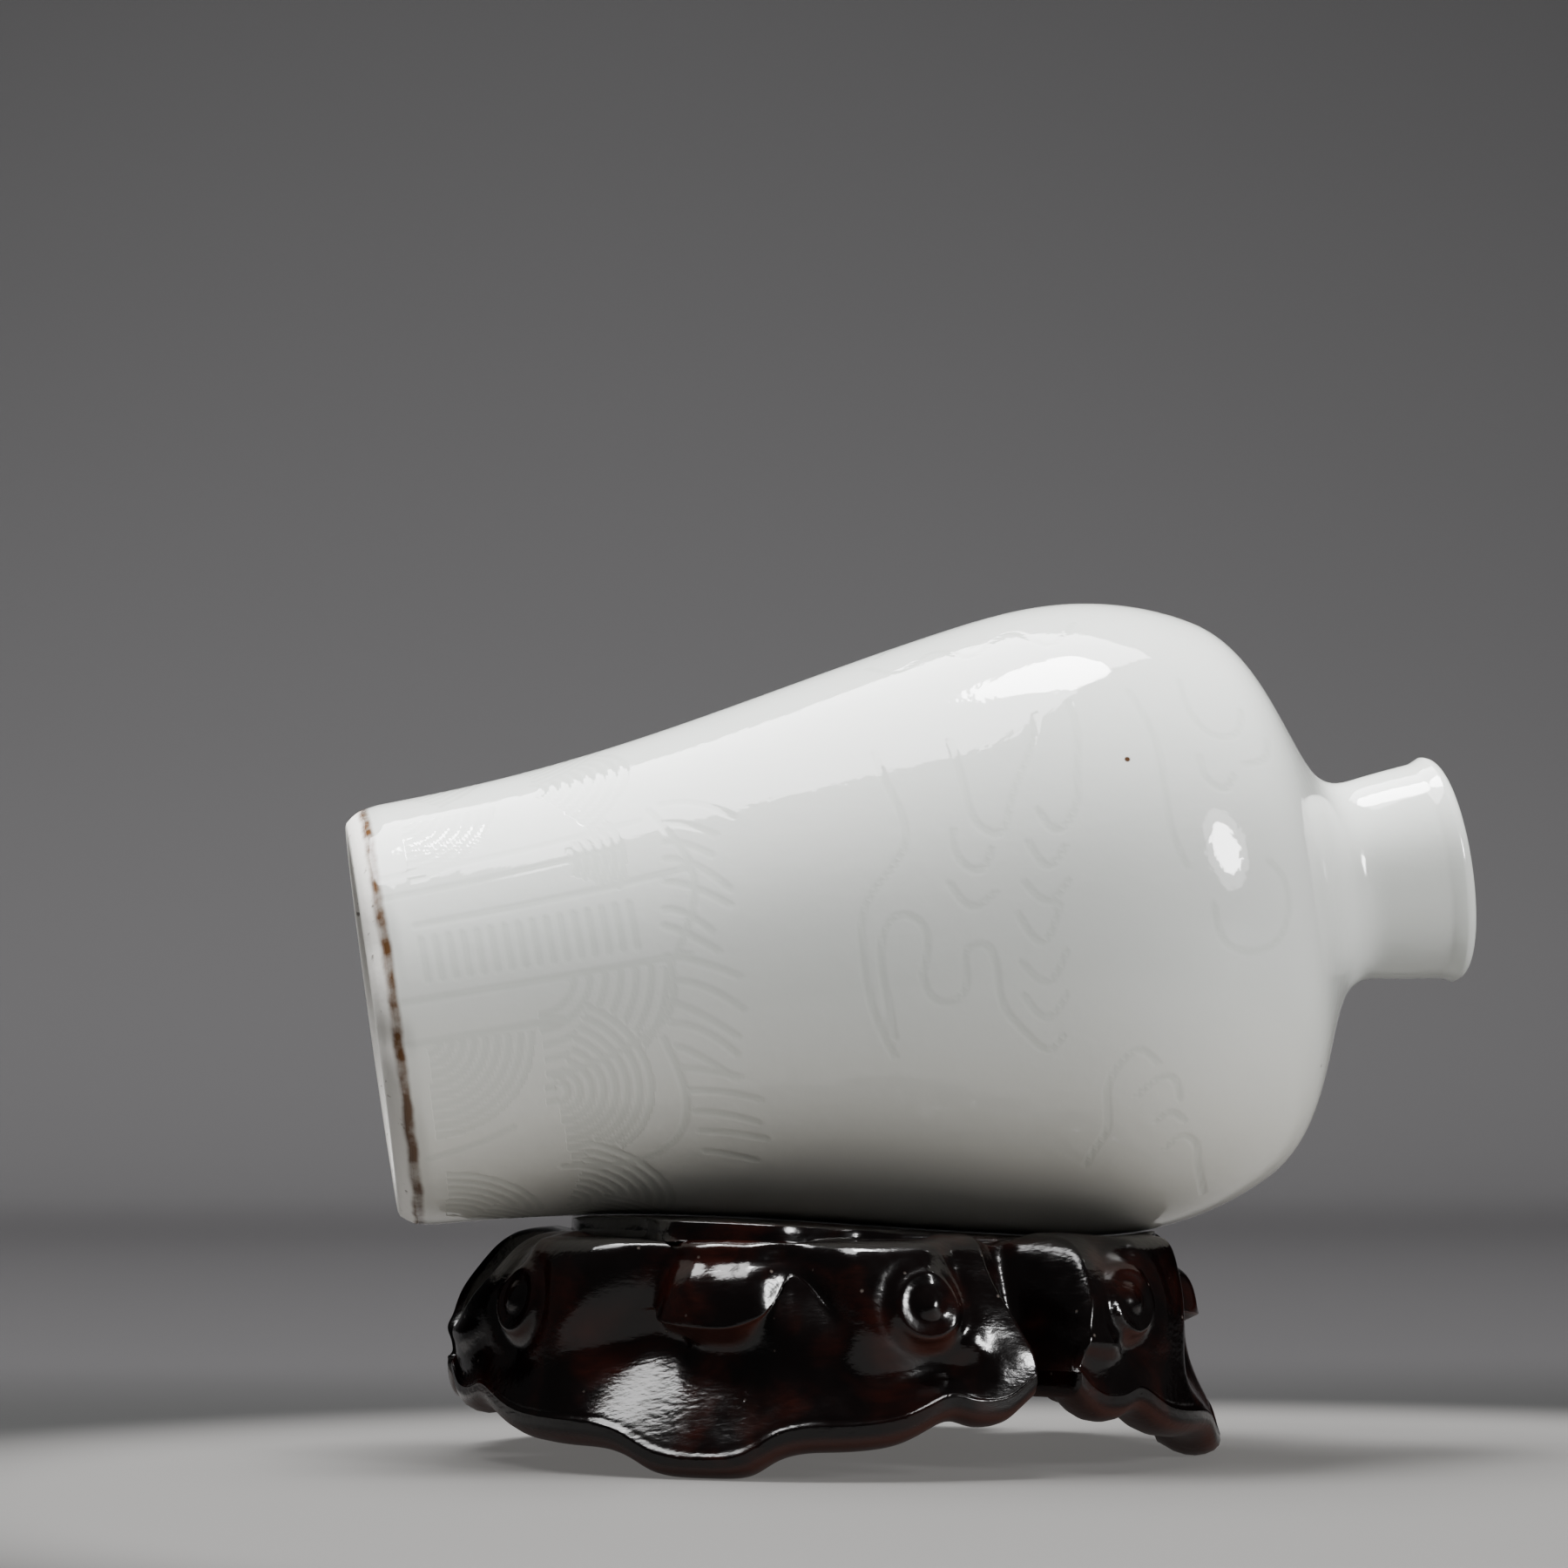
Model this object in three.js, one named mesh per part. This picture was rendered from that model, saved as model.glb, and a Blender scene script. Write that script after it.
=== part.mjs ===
// A white porcelain snuff bottle of plum-vase form, lying in the dished seat of its carved hardwood stand.
// Millimetres, +Z up, +X from the bottle's foot towards its mouth, the origin on the ground under the middle.
import * as THREE from "three";

// Bottle: lengths run along its own axis from the foot, radii from that axis.
const BOTTLE_LENGTH = 76;
const FOOT_BEVEL_LENGTH = 1.2;
const FOOT_BEVEL_DEPTH = 0.75;
const FOOT_RING_WIDTH = 2.6;
const FOOT_RECESS_DEPTH = 1.4;
const FOOT_RADIUS = 14.45;
const FLARE_PLACE = 9;
const FLARE_RADIUS = 14.98;
const WAIST_PLACE = 20;
const WAIST_RADIUS = 16.5;
const TAPER_PLACE = 32;
const TAPER_RADIUS = 18.98;
const BELLY_PLACE = 43;
const BELLY_RADIUS = 21.22;
const SHOULDER_PLACE = 49;
const SHOULDER_RADIUS = 21.98;
const TURN_PLACE = 54.5;
const TURN_RADIUS = 21.52;
const SLOPE_PLACE = 59;
const SLOPE_RADIUS = 20;
const STEEP_PLACE = 63;
const STEEP_RADIUS = 16.2;
const NECK_ROOT_PLACE = 65.3;
const NECK_ROOT_RADIUS = 11.3;
const NECK_FOOT_PLACE = 67;
const NECK_FOOT_RADIUS = 8.2;
const NECK_PLACE = 70.5;
const NECK_RADIUS = 7.12;
const LIP_ROOT_PLACE = 74.4;
const LIP_ROOT_RADIUS = 7.62;
const MOUTH_RADIUS = 7.97;
const LIP_RADIUS = 0.85;
const BODY_WALL = 2.1;
const FLOOR_THICKNESS = 3.4;
const NECK_BORE_RADIUS = 4.6;
const LIP_ARC = 120;
const LIP_ARC_STEP = 30;
const BOTTLE_SIDES = 54;
const OUTLINE_STEP = 3;
const MOUTH_END_STEP = 1.8;
const OUTLINE_SAMPLES = 800;

// How the bottle lies: the height of its foot's centre, the rise of its axis, and where the foot is along X.
const FOOT_HEIGHT = 29.6;
const AXIS_RISE = THREE.MathUtils.degToRad(8.15);
const FOOT_X = -31.8;

// Stand: three cloud-shaped heads round a dished seat. Their directions are in degrees, 0 towards the viewer.
// A head's own angle runs from 0 at its middle to its edge and on to the middle of the gap beside it.
const HEAD_DIRECTIONS = [-25, 78, 208];
const COLUMN_ANGLE = 3;
const FACE_STEPS = 14;
const SEAT_CLEARANCE = 0.3;
const SEAT_SHIFT = 3;
const TROUGH_HALF_WIDTH = 5;
const TROUGH_DEPTH = 0.2;
const PAD_FLAP_RADIUS = 22;
const PAD_GAP_RADIUS = 18;
const PAD_WIDE_ANGLE = 9;
const PAD_NARROW_ANGLE = 32;
const PAD_SPREAD = 0.2;
const PAD_STEP = 0.2;
const LEDGE_HEIGHT = 14.95;
const ARRIS_RADIUS = 26.6;
const GAP_TOP_RADIUS = 19.2;
const GAP_TOP_DROP = 0.4;
const GAP_RADIUS = 22;
const GAP_ARRIS_HEIGHT = 6.6;
const FLAP_TOP_DROPS = [0, 1.5, 0];
const FLAP_SHIFT_ANGLE = 1;
const FLAP_HALF_ANGLE = 9.3;
const FLAP_END_ANGLE = 14;
const FLAP_CORNER_RISE = 2.6;
const FLAP_NARROWING = 1.2;
const LIP_FADE_ANGLE = 24;
const POCKET_HALF_ANGLE = 11;
const VALLEY_ANGLE = 5;
const DOME_START_ANGLE = 17;
const DOME_FULL_ANGLE = 29;
const END_START_ANGLE = 41;
const END_FULL_ANGLE = 50;
const WHORL_ANGLE = 37;
const WHORL_HEIGHT = 11.2;
const WHORL_RADIUS = 1.5;
const WHORL_RISE = 0.5;
const EDGE_ANGLE = 56;
const HALF_GAP_ANGLE = 4;
const HALF_HEAD_ANGLE = EDGE_ANGLE + HALF_GAP_ANGLE;
const EDGE_NARROWING_ANGLE = 11;
const EDGE_WIDE_HEIGHT = 6.8;
const EDGE_NARROW_HEIGHT = 14;
const LIP_THICKNESS = 1.6;
const LIP_ROUND = 0.3;
const LIP_BEVEL = 1.4;
const LIP_WIDTH = 4.2;
const HOLLOW_WALL_SPREAD = 1.2;
const HOLLOW_CEILING = 7.6;
const HOLLOW_CROWN = 0.5;
const HOLLOW_RADIUS = 16.4;
const SEAT_SHARES = [0.3, 0.6, 0.85, 0.97, 1];
const GAP_SHARES = [0, 0.25, 0.6];
const FULL_TURN = 360;

// Profiles of a head as [radius, height], from its top down to the sharp lower edge. The flap's lip is at the
// fourth station of each, and the pocket's profile starts there.
const LIP_STATION = 3;
const LOWEST_STATION = 7;
const LIP_SHARE = 0.5;
const FLAP_PROFILE = [
  [22.45, 15.05],
  [23.1, 13.9],
  [24.1, 11.8],
  [25.1, 9.5],
];
const POCKET_PROFILE = [
  [25, 9.4],
  [23.8, 8.2],
  [23.8, 6.4],
  [25.1, 4],
  [ARRIS_RADIUS, 1.3],
];
const LEFT_VALLEY_PROFILE = [
  [21, 14.9],
  [22.55, 13.2],
  [22.75, 11.5],
  [22.7, 10],
  [22.8, 8.4],
  [23.8, 6.8],
  [25.3, 5],
  [ARRIS_RADIUS, 3.4],
];
const RIGHT_VALLEY_PROFILE = [
  [21, 14.9],
  [22.5, 13.3],
  [22.8, 11.8],
  [23.1, 10.6],
  [24.7, 8.8],
  [25.3, 7],
  [25.8, 5.2],
  [ARRIS_RADIUS, 3.4],
];
const DOME_PROFILE = [
  [22.6, 15],
  [24.7, 14.1],
  [25.5, 12.2],
  [25.9, 9.8],
  [25.75, 8.5],
  [25.45, 7.3],
  [25.8, 6.3],
  [ARRIS_RADIUS, 5.3],
];
const END_PROFILE = [
  [19.8, 15.35],
  [23.3, 14.3],
  [25.5, 11.6],
  [26.2, 9.5],
  [26.35, 8.4],
  [26.3, 7.4],
  [26.25, 6.4],
  [ARRIS_RADIUS, 5.2],
];

// Height of the sharp lower edge at these angles from the head's middle.
const ARRIS_ANGLES = [0, 5, 11.5, 16, 28, 33, 41.5, 47, 52, EDGE_ANGLE];
const ARRIS_HEIGHTS = [1.25, 1.45, 2.75, 3.3, 3.6, 4, 5.35, 4.95, 5.4, 6.6];

const lerp = THREE.MathUtils.lerp;
const clamp = THREE.MathUtils.clamp;
const smooth = THREE.MathUtils.smoothstep;
const radians = THREE.MathUtils.degToRad;

// A natural cubic curve through stations given as [place, value], with the places rising.
function smoothCurve(stations) {
  const last = stations.length - 1;
  const gap = (i) => stations[i + 1][0] - stations[i][0];
  const slope = (i) => (stations[i + 1][1] - stations[i][1]) / gap(i);
  const pull = new Array(last + 1).fill(0);
  const load = new Array(last + 1).fill(0);
  for (let i = 1; i < last; i++) {
    const weight = 2 * (gap(i - 1) + gap(i)) - gap(i - 1) * pull[i - 1];
    pull[i] = gap(i) / weight;
    load[i] = (6 * (slope(i) - slope(i - 1)) - gap(i - 1) * load[i - 1]) / weight;
  }
  const bend = new Array(last + 1).fill(0);
  for (let i = last - 1; i > 0; i--) bend[i] = load[i] - pull[i] * bend[i + 1];
  return (place) => {
    const k = clamp(stations.findIndex((p) => p[0] >= place) - 1, 0, last - 1);
    const h = gap(k);
    const before = stations[k + 1][0] - place;
    const after = place - stations[k][0];
    return (
      (bend[k] * before ** 3 + bend[k + 1] * after ** 3) / (6 * h) +
      (stations[k][1] / h - (bend[k] * h) / 6) * before +
      (stations[k + 1][1] / h - (bend[k + 1] * h) / 6) * after
    );
  };
}

// The outer outline of the glazed body, from the foot's bevel to the root of the lip, as radius over place.
const bodyRadius = smoothCurve([
  [FOOT_BEVEL_LENGTH, FOOT_RADIUS],
  [FLARE_PLACE, FLARE_RADIUS],
  [WAIST_PLACE, WAIST_RADIUS],
  [TAPER_PLACE, TAPER_RADIUS],
  [BELLY_PLACE, BELLY_RADIUS],
  [SHOULDER_PLACE, SHOULDER_RADIUS],
  [TURN_PLACE, TURN_RADIUS],
  [SLOPE_PLACE, SLOPE_RADIUS],
  [STEEP_PLACE, STEEP_RADIUS],
  [NECK_ROOT_PLACE, NECK_ROOT_RADIUS],
  [NECK_FOOT_PLACE, NECK_FOOT_RADIUS],
  [NECK_PLACE, NECK_RADIUS],
  [LIP_ROOT_PLACE, LIP_ROOT_RADIUS],
]);

// Points on that outline, an even step apart along the curve.
function bodyOutline() {
  const fine = [];
  for (let i = 0; i <= OUTLINE_SAMPLES; i++) {
    const place = lerp(FOOT_BEVEL_LENGTH, LIP_ROOT_PLACE, i / OUTLINE_SAMPLES);
    fine.push(new THREE.Vector2(bodyRadius(place), place));
  }
  const kept = [fine[0]];
  for (const point of fine) {
    const step = point.y > SHOULDER_PLACE ? MOUTH_END_STEP : OUTLINE_STEP;
    if (point.distanceTo(kept[kept.length - 1]) >= step) kept.push(point);
  }
  kept[kept.length - 1] = fine[fine.length - 1];
  return kept;
}

// The whole section of the bottle, walked from the middle of its base, up the outside and down the inside.
function bottleSection() {
  const outer = bodyOutline();
  const ringOuter = FOOT_RADIUS - FOOT_BEVEL_DEPTH;
  const ringInner = ringOuter - FOOT_RING_WIDTH;
  const base = [
    [0, FOOT_RECESS_DEPTH],
    [ringInner - FOOT_RECESS_DEPTH / 2, FOOT_RECESS_DEPTH],
    [ringInner, 0],
    [ringOuter, 0],
  ].map(([radius, place]) => new THREE.Vector2(radius, place));
  const lip = [];
  for (let degrees = 0; degrees <= LIP_ARC; degrees += LIP_ARC_STEP) {
    const out = LIP_RADIUS * Math.cos(radians(degrees));
    const along = LIP_RADIUS * Math.sin(radians(degrees));
    lip.push(new THREE.Vector2(MOUTH_RADIUS - LIP_RADIUS + out, BOTTLE_LENGTH - LIP_RADIUS + along));
  }
  const inner = outer
    .filter((p) => p.y > FLOOR_THICKNESS + BODY_WALL && p.y < NECK_FOOT_PLACE - BODY_WALL)
    .map((p) => new THREE.Vector2(Math.max(p.x - BODY_WALL, NECK_BORE_RADIUS), p.y))
    .reverse();
  const bore = [
    new THREE.Vector2(NECK_BORE_RADIUS, BOTTLE_LENGTH - LIP_RADIUS),
    new THREE.Vector2(NECK_BORE_RADIUS, NECK_FOOT_PLACE - BODY_WALL),
  ];
  const floor = [
    new THREE.Vector2(inner[inner.length - 1].x - BODY_WALL, FLOOR_THICKNESS),
    new THREE.Vector2(0, FLOOR_THICKNESS),
  ];
  return [...base, ...outer, ...lip, ...bore, ...inner, ...floor];
}

// The bottle's lowest height at each X, read off its outline where it lies.
const undersideLine = bodyOutline().map((p) => ({
  x: FOOT_X + p.y * Math.cos(AXIS_RISE) + p.x * Math.sin(AXIS_RISE),
  z: FOOT_HEIGHT + p.y * Math.sin(AXIS_RISE) - p.x * Math.cos(AXIS_RISE),
}));

function undersideHeight(x) {
  const after = undersideLine.findIndex((p) => p.x > x);
  const b = undersideLine[Math.max(after, 1)];
  const a = undersideLine[Math.max(after, 1) - 1];
  return lerp(a.z, b.z, clamp((x - a.x) / (b.x - a.x), 0, 1));
}

// Height of the seat: it follows the bottle's underside along X, with a shallow trough.
function seatHeight(x, y) {
  return undersideHeight(x) - SEAT_CLEARANCE + TROUGH_DEPTH * smooth(Math.abs(y), 0, TROUGH_HALF_WIDTH);
}

const arrisHeight = smoothCurve(ARRIS_ANGLES.map((angle, i) => [angle, ARRIS_HEIGHTS[i]]));

// How far down the face a profile's station lies, from 0 at the top over the lip to 1 at the arris.
function stationShare(station) {
  if (station <= LIP_STATION) return (LIP_SHARE * station) / LIP_STATION;
  return lerp(LIP_SHARE, 1, (station - LIP_STATION) / (LOWEST_STATION - LIP_STATION));
}

// A smooth profile through stations, counted from this number, as a place for each share of the way down.
function profileCurve(stations, first = 0) {
  const radius = smoothCurve(stations.map(([r], i) => [stationShare(first + i), r]));
  const height = smoothCurve(stations.map(([, z], i) => [stationShare(first + i), z]));
  return (share) => ({ r: radius(share), z: height(share) });
}

const flapAt = profileCurve(FLAP_PROFILE);
const pocketAt = profileCurve(POCKET_PROFILE, LIP_STATION);
const leftValleyAt = profileCurve(LEFT_VALLEY_PROFILE);
const rightValleyAt = profileCurve(RIGHT_VALLEY_PROFILE);
const domeAt = profileCurve(DOME_PROFILE);
const endAt = profileCurve(END_PROFILE);

function blend(a, b, share) {
  return { r: lerp(a.r, b.r, share), z: lerp(a.z, b.z, share) };
}

// A head's face without its flap: valleys beside the flap, then the domes, then the rounded ends.
function faceBeside(angle, share) {
  const away = Math.abs(angle);
  const turned = smooth(angle, -VALLEY_ANGLE, VALLEY_ANGLE);
  const valley = blend(leftValleyAt(share), rightValleyAt(share), turned);
  const dome = blend(valley, domeAt(share), smooth(away, DOME_START_ANGLE, DOME_FULL_ANGLE));
  return blend(dome, endAt(share), smooth(away, END_START_ANGLE, END_FULL_ANGLE));
}

// A head's face with the flap laid over it, and under its lip the pocket.
function carvedFace(head, angle, share) {
  const beside = faceBeside(angle, share);
  const fromFlap = Math.abs(angle - FLAP_SHIFT_ANGLE);
  const corner = Math.min(fromFlap / FLAP_END_ANGLE, 1) ** 2;
  const lipRise = FLAP_CORNER_RISE * corner * (1 - smooth(fromFlap, FLAP_END_ANGLE, LIP_FADE_ANGLE));
  const onFlap = 1 - smooth(fromFlap, FLAP_HALF_ANGLE, FLAP_END_ANGLE);
  if (share > LIP_SHARE) {
    const below = (share - LIP_SHARE) / (1 - LIP_SHARE);
    const point = blend(beside, pocketAt(share), 1 - smooth(fromFlap, 0, POCKET_HALF_ANGLE));
    point.z += lipRise * onFlap * (1 - below) ** 3;
    return point;
  }
  const reach = share / LIP_SHARE;
  const flap = flapAt(share);
  flap.r -= FLAP_NARROWING * corner * reach;
  flap.z -= FLAP_TOP_DROPS[head] * (1 - reach);
  const point = blend(beside, flap, onFlap);
  point.z += lipRise * reach ** 2;
  return point;
}

// Angles up to a head's edge are squeezed towards its middle, and those in the gap are spread to meet them.
function spreadAngle(angle, height) {
  const away = Math.abs(angle);
  const edge = EDGE_ANGLE - EDGE_NARROWING_ANGLE * smooth(height, EDGE_WIDE_HEIGHT, EDGE_NARROW_HEIGHT);
  if (away <= EDGE_ANGLE) return (angle * edge) / EDGE_ANGLE;
  const share = (away - EDGE_ANGLE) / HALF_GAP_ANGLE;
  return Math.sign(angle) * lerp(edge, HALF_HEAD_ANGLE, share);
}

// How far a whorl's boss stands out at this place.
function whorlRise(angle, height, degreesPerAngle) {
  const away = Math.abs(spreadAngle(angle, height)) - WHORL_ANGLE;
  const across = radians(away * degreesPerAngle) * ARRIS_RADIUS;
  const up = height - WHORL_HEIGHT;
  return WHORL_RISE * Math.exp(-(across ** 2 + up ** 2) / WHORL_RADIUS ** 2);
}

// A place on a head's outer face or in the gap beside it.
function outerPlace(head, angle, share, degreesPerAngle) {
  const onHead = clamp(angle, -EDGE_ANGLE, EDGE_ANGLE);
  const point = carvedFace(head, onHead, share);
  const below = Math.max((share - LIP_SHARE) / (1 - LIP_SHARE), 0);
  point.z += (arrisHeight(Math.abs(onHead)) - carvedFace(head, onHead, 1).z) * below;
  point.r += whorlRise(onHead, point.z, degreesPerAngle);
  const inGap = Math.max((Math.abs(angle) - EDGE_ANGLE) / HALF_GAP_ANGLE, 0);
  const floor = Math.min(point.r, lerp(GAP_TOP_RADIUS, GAP_RADIUS, share));
  point.r = lerp(point.r, floor, 1 - (1 - inGap) ** 2);
  point.z = lerp(point.z, lerp(LEDGE_HEIGHT - GAP_TOP_DROP, GAP_ARRIS_HEIGHT, share), smooth(inGap, 0, 1));
  return { ...point, angle: spreadAngle(angle, point.z) };
}

// One profile of the stand, from the middle of the seat over the pad and the outside to the hollow beneath.
function standProfile(head, angle, directionOf, degreesPerAngle) {
  const toPoint = ({ r, z, angle: turned }) => {
    const direction = radians(directionOf(turned));
    return [r * Math.sin(direction), -r * Math.cos(direction), z];
  };
  const face = [];
  for (let i = 0; i <= FACE_STEPS; i++) face.push(outerPlace(head, angle, i / FACE_STEPS, degreesPerAngle));
  const crest = face[0];
  const narrowed = smooth(Math.abs(angle), PAD_WIDE_ANGLE, PAD_NARROW_ANGLE);
  const pad = lerp(PAD_FLAP_RADIUS, PAD_GAP_RADIUS, narrowed);
  const [rimX, rimY] = toPoint({ r: pad, z: 0, angle: crest.angle });
  const seat = SEAT_SHARES.map((share) => {
    const x = lerp(SEAT_SHIFT, rimX, share);
    const y = rimY * share;
    return [x, y, seatHeight(x, y)];
  });
  const padFoot = {
    r: pad + PAD_SPREAD,
    z: Math.min(seatHeight(rimX, rimY) - PAD_STEP, LEDGE_HEIGHT, crest.z),
    angle: crest.angle,
  };
  const { r: low, z, angle: lowAngle } = face[FACE_STEPS];
  const sole = Math.max(z - LIP_THICKNESS, 0);
  const under = [
    [low - LIP_ROUND, (z + sole) / 2],
    [low - LIP_BEVEL, sole],
    [low - LIP_WIDTH, sole],
    [low - LIP_WIDTH - HOLLOW_WALL_SPREAD, (sole + HOLLOW_CEILING) / 2],
    [HOLLOW_RADIUS, HOLLOW_CEILING],
    [HOLLOW_RADIUS / 2, HOLLOW_CEILING + HOLLOW_CROWN],
  ].map(([r, height]) => ({ r, z: height, angle: lowAngle }));
  return [...seat, ...[padFoot, ...face, ...under].map(toPoint)];
}

// The angles on a head at which its profiles are taken: even steps, closer in the gaps at both sides.
function columnAngles() {
  const angles = GAP_SHARES.map((share) => -EDGE_ANGLE - HALF_GAP_ANGLE * share).reverse();
  const widest = COLUMN_ANGLE * Math.floor((EDGE_ANGLE - 1) / COLUMN_ANGLE);
  for (let angle = -widest; angle <= widest; angle += COLUMN_ANGLE) angles.push(angle);
  return [...angles, ...GAP_SHARES.map((share) => EDGE_ANGLE + HALF_GAP_ANGLE * share), HALF_HEAD_ANGLE];
}

// A closed skin over rings of equal count, shut by one point at each end.
function closedSkin(rings, first, last) {
  const count = rings[0].length;
  const positions = [...first];
  for (const ring of rings) {
    for (const p of ring) positions.push(...p);
  }
  positions.push(...last);
  const end = 1 + rings.length * count;
  const at = (ring, i) => 1 + ring * count + (i % count);
  const index = [];
  for (let i = 0; i < count; i++) index.push(0, at(0, i), at(0, i + 1));
  for (let ring = 0; ring + 1 < rings.length; ring++) {
    for (let i = 0; i < count; i++) {
      index.push(at(ring, i), at(ring + 1, i), at(ring + 1, i + 1));
      index.push(at(ring, i), at(ring + 1, i + 1), at(ring, i + 1));
    }
  }
  for (let i = 0; i < count; i++) index.push(at(rings.length - 1, i), end, at(rings.length - 1, i + 1));
  const geometry = new THREE.BufferGeometry();
  geometry.setAttribute("position", new THREE.Float32BufferAttribute(positions, 3));
  geometry.setIndex(index);
  return geometry;
}

function standGeometry() {
  const count = HEAD_DIRECTIONS.length;
  const profiles = HEAD_DIRECTIONS.flatMap((here, head) => {
    const after = HEAD_DIRECTIONS[(head + 1) % count] + (head + 1 === count ? FULL_TURN : 0);
    const before = HEAD_DIRECTIONS[(head + count - 1) % count] - (head === 0 ? FULL_TURN : 0);
    return columnAngles().map((angle) => {
      const degreesPerAngle = (angle < 0 ? here - before : after - here) / (2 * HALF_HEAD_ANGLE);
      return standProfile(head, angle, (turned) => here + turned * degreesPerAngle, degreesPerAngle);
    });
  });
  const rings = profiles[0].map((_, row) => profiles.map((profile) => profile[row]));
  const middle = [SEAT_SHIFT, 0, seatHeight(SEAT_SHIFT, 0)];
  return closedSkin(rings, middle, [0, 0, HOLLOW_CEILING + HOLLOW_CROWN]);
}

function named(name, geometry, material) {
  const mesh = new THREE.Mesh(geometry, material);
  mesh.name = name;
  return mesh;
}

const porcelain = new THREE.MeshStandardMaterial({ color: 0xdfe1dc, roughness: 0.12, metalness: 0 });
const hardwood = new THREE.MeshStandardMaterial({ color: 0x2a1512, roughness: 0.3, metalness: 0 });

const bottle = named("bottle", new THREE.LatheGeometry(bottleSection(), BOTTLE_SIDES), porcelain);
bottle.rotation.z = -Math.PI / 2;
const lying = new THREE.Group();
lying.add(bottle);
lying.rotation.y = -AXIS_RISE;
lying.position.set(FOOT_X, 0, FOOT_HEIGHT);

const stand = named("stand", standGeometry(), hardwood);

const model = new THREE.Group();
model.add(lying, stand);
const bounds = new THREE.Box3().setFromObject(model, true);
model.position.set(-(bounds.min.x + bounds.max.x) / 2, -(bounds.min.y + bounds.max.y) / 2, -bounds.min.z);

export default model;
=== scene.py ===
"""A white porcelain snuff bottle of plum-vase form, lying on its carved hardwood stand."""

from __future__ import annotations

import logging
import math
from dataclasses import dataclass

import bpy
import numpy as np
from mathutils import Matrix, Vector

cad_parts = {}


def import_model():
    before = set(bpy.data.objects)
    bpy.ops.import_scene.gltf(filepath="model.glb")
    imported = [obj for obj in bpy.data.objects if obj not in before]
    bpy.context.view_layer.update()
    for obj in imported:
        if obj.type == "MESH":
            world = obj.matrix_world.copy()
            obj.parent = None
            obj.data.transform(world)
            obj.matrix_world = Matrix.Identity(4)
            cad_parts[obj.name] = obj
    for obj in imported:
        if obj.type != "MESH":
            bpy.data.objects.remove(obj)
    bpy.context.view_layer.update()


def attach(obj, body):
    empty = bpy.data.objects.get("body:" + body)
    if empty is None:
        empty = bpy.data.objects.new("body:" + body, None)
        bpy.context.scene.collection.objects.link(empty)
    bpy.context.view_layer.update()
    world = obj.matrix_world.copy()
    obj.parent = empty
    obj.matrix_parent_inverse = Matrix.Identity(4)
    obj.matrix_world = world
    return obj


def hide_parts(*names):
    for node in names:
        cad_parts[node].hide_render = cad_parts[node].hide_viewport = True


LOG = logging.getLogger("snuff_bottle")
MM = 0.001


def linear(hex_colour: str) -> tuple[float, float, float, float]:
    """Turns an sRGB hex colour into linear light.

    Args:
        hex_colour: six hex digits with a leading hash sign.

    Returns:
        Linear red, green, blue and full opacity.
    """
    values = [int(hex_colour[i : i + 2], 16) / 255 for i in (1, 3, 5)]
    red, green, blue = (v / 12.92 if v <= 0.04045 else ((v + 0.055) / 1.055) ** 2.4 for v in values)
    return red, green, blue, 1.0


def per_size(size: float) -> float:
    """Texture scale that makes a pattern's features that many millimetres wide."""
    return 1 / (size * MM)


def add_node(
    tree: bpy.types.NodeTree, kind: str, settings: dict | None = None, **inputs: object
) -> bpy.types.Node:
    """Adds one shader node.

    Args:
        tree: the material's node tree.
        kind: the node's type name.
        settings: properties of the node itself.
        inputs: socket values or sockets to link, by the socket's name in lower case with underscores,
            or by its index after the letter i.

    Returns:
        The new node.
    """
    node = tree.nodes.new(kind)
    for key, value in (settings or {}).items():
        setattr(node, key, value)
    names = {}
    for index, socket in enumerate(node.inputs):
        names.setdefault(socket.name.lower().replace(" ", "_"), socket)
        names["i" + str(index)] = socket
    for key, value in inputs.items():
        socket = names[key]
        if isinstance(value, bpy.types.NodeSocket):
            tree.links.new(value, socket)
        else:
            socket.default_value = value
    return node


def make_mesh(
    name: str,
    points: np.ndarray,
    faces: list[np.ndarray],
    material: bpy.types.Material,
) -> bpy.types.Object:
    """Makes one smooth-shaded object from whole arrays.

    Args:
        name: the object's name.
        points: vertex places in metres, one row each.
        faces: arrays of vertex numbers, one row a face; each array has faces of one corner count.
        material: the finish of every face.

    Returns:
        The linked object, at the origin.
    """
    counts = np.concatenate([np.full(len(f), f.shape[1], dtype=np.int32) for f in faces])
    corners = np.concatenate([f.ravel() for f in faces]).astype(np.int32)
    starts = np.concatenate([[0], np.cumsum(counts)[:-1]]).astype(np.int32)
    mesh = bpy.data.meshes.new(name)
    mesh.vertices.add(len(points))
    mesh.vertices.foreach_set("co", points.astype(np.float32).ravel())
    mesh.loops.add(len(corners))
    mesh.loops.foreach_set("vertex_index", corners)
    mesh.polygons.add(len(counts))
    mesh.polygons.foreach_set("loop_start", starts)
    mesh.polygons.foreach_set("loop_total", counts)
    mesh.update(calc_edges=True)
    mesh.validate()
    mesh.polygons.foreach_set("use_smooth", np.ones(len(counts), dtype=bool))
    mesh.materials.append(material)
    piece = bpy.data.objects.new(name, mesh)
    bpy.context.scene.collection.objects.link(piece)
    return piece


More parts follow.
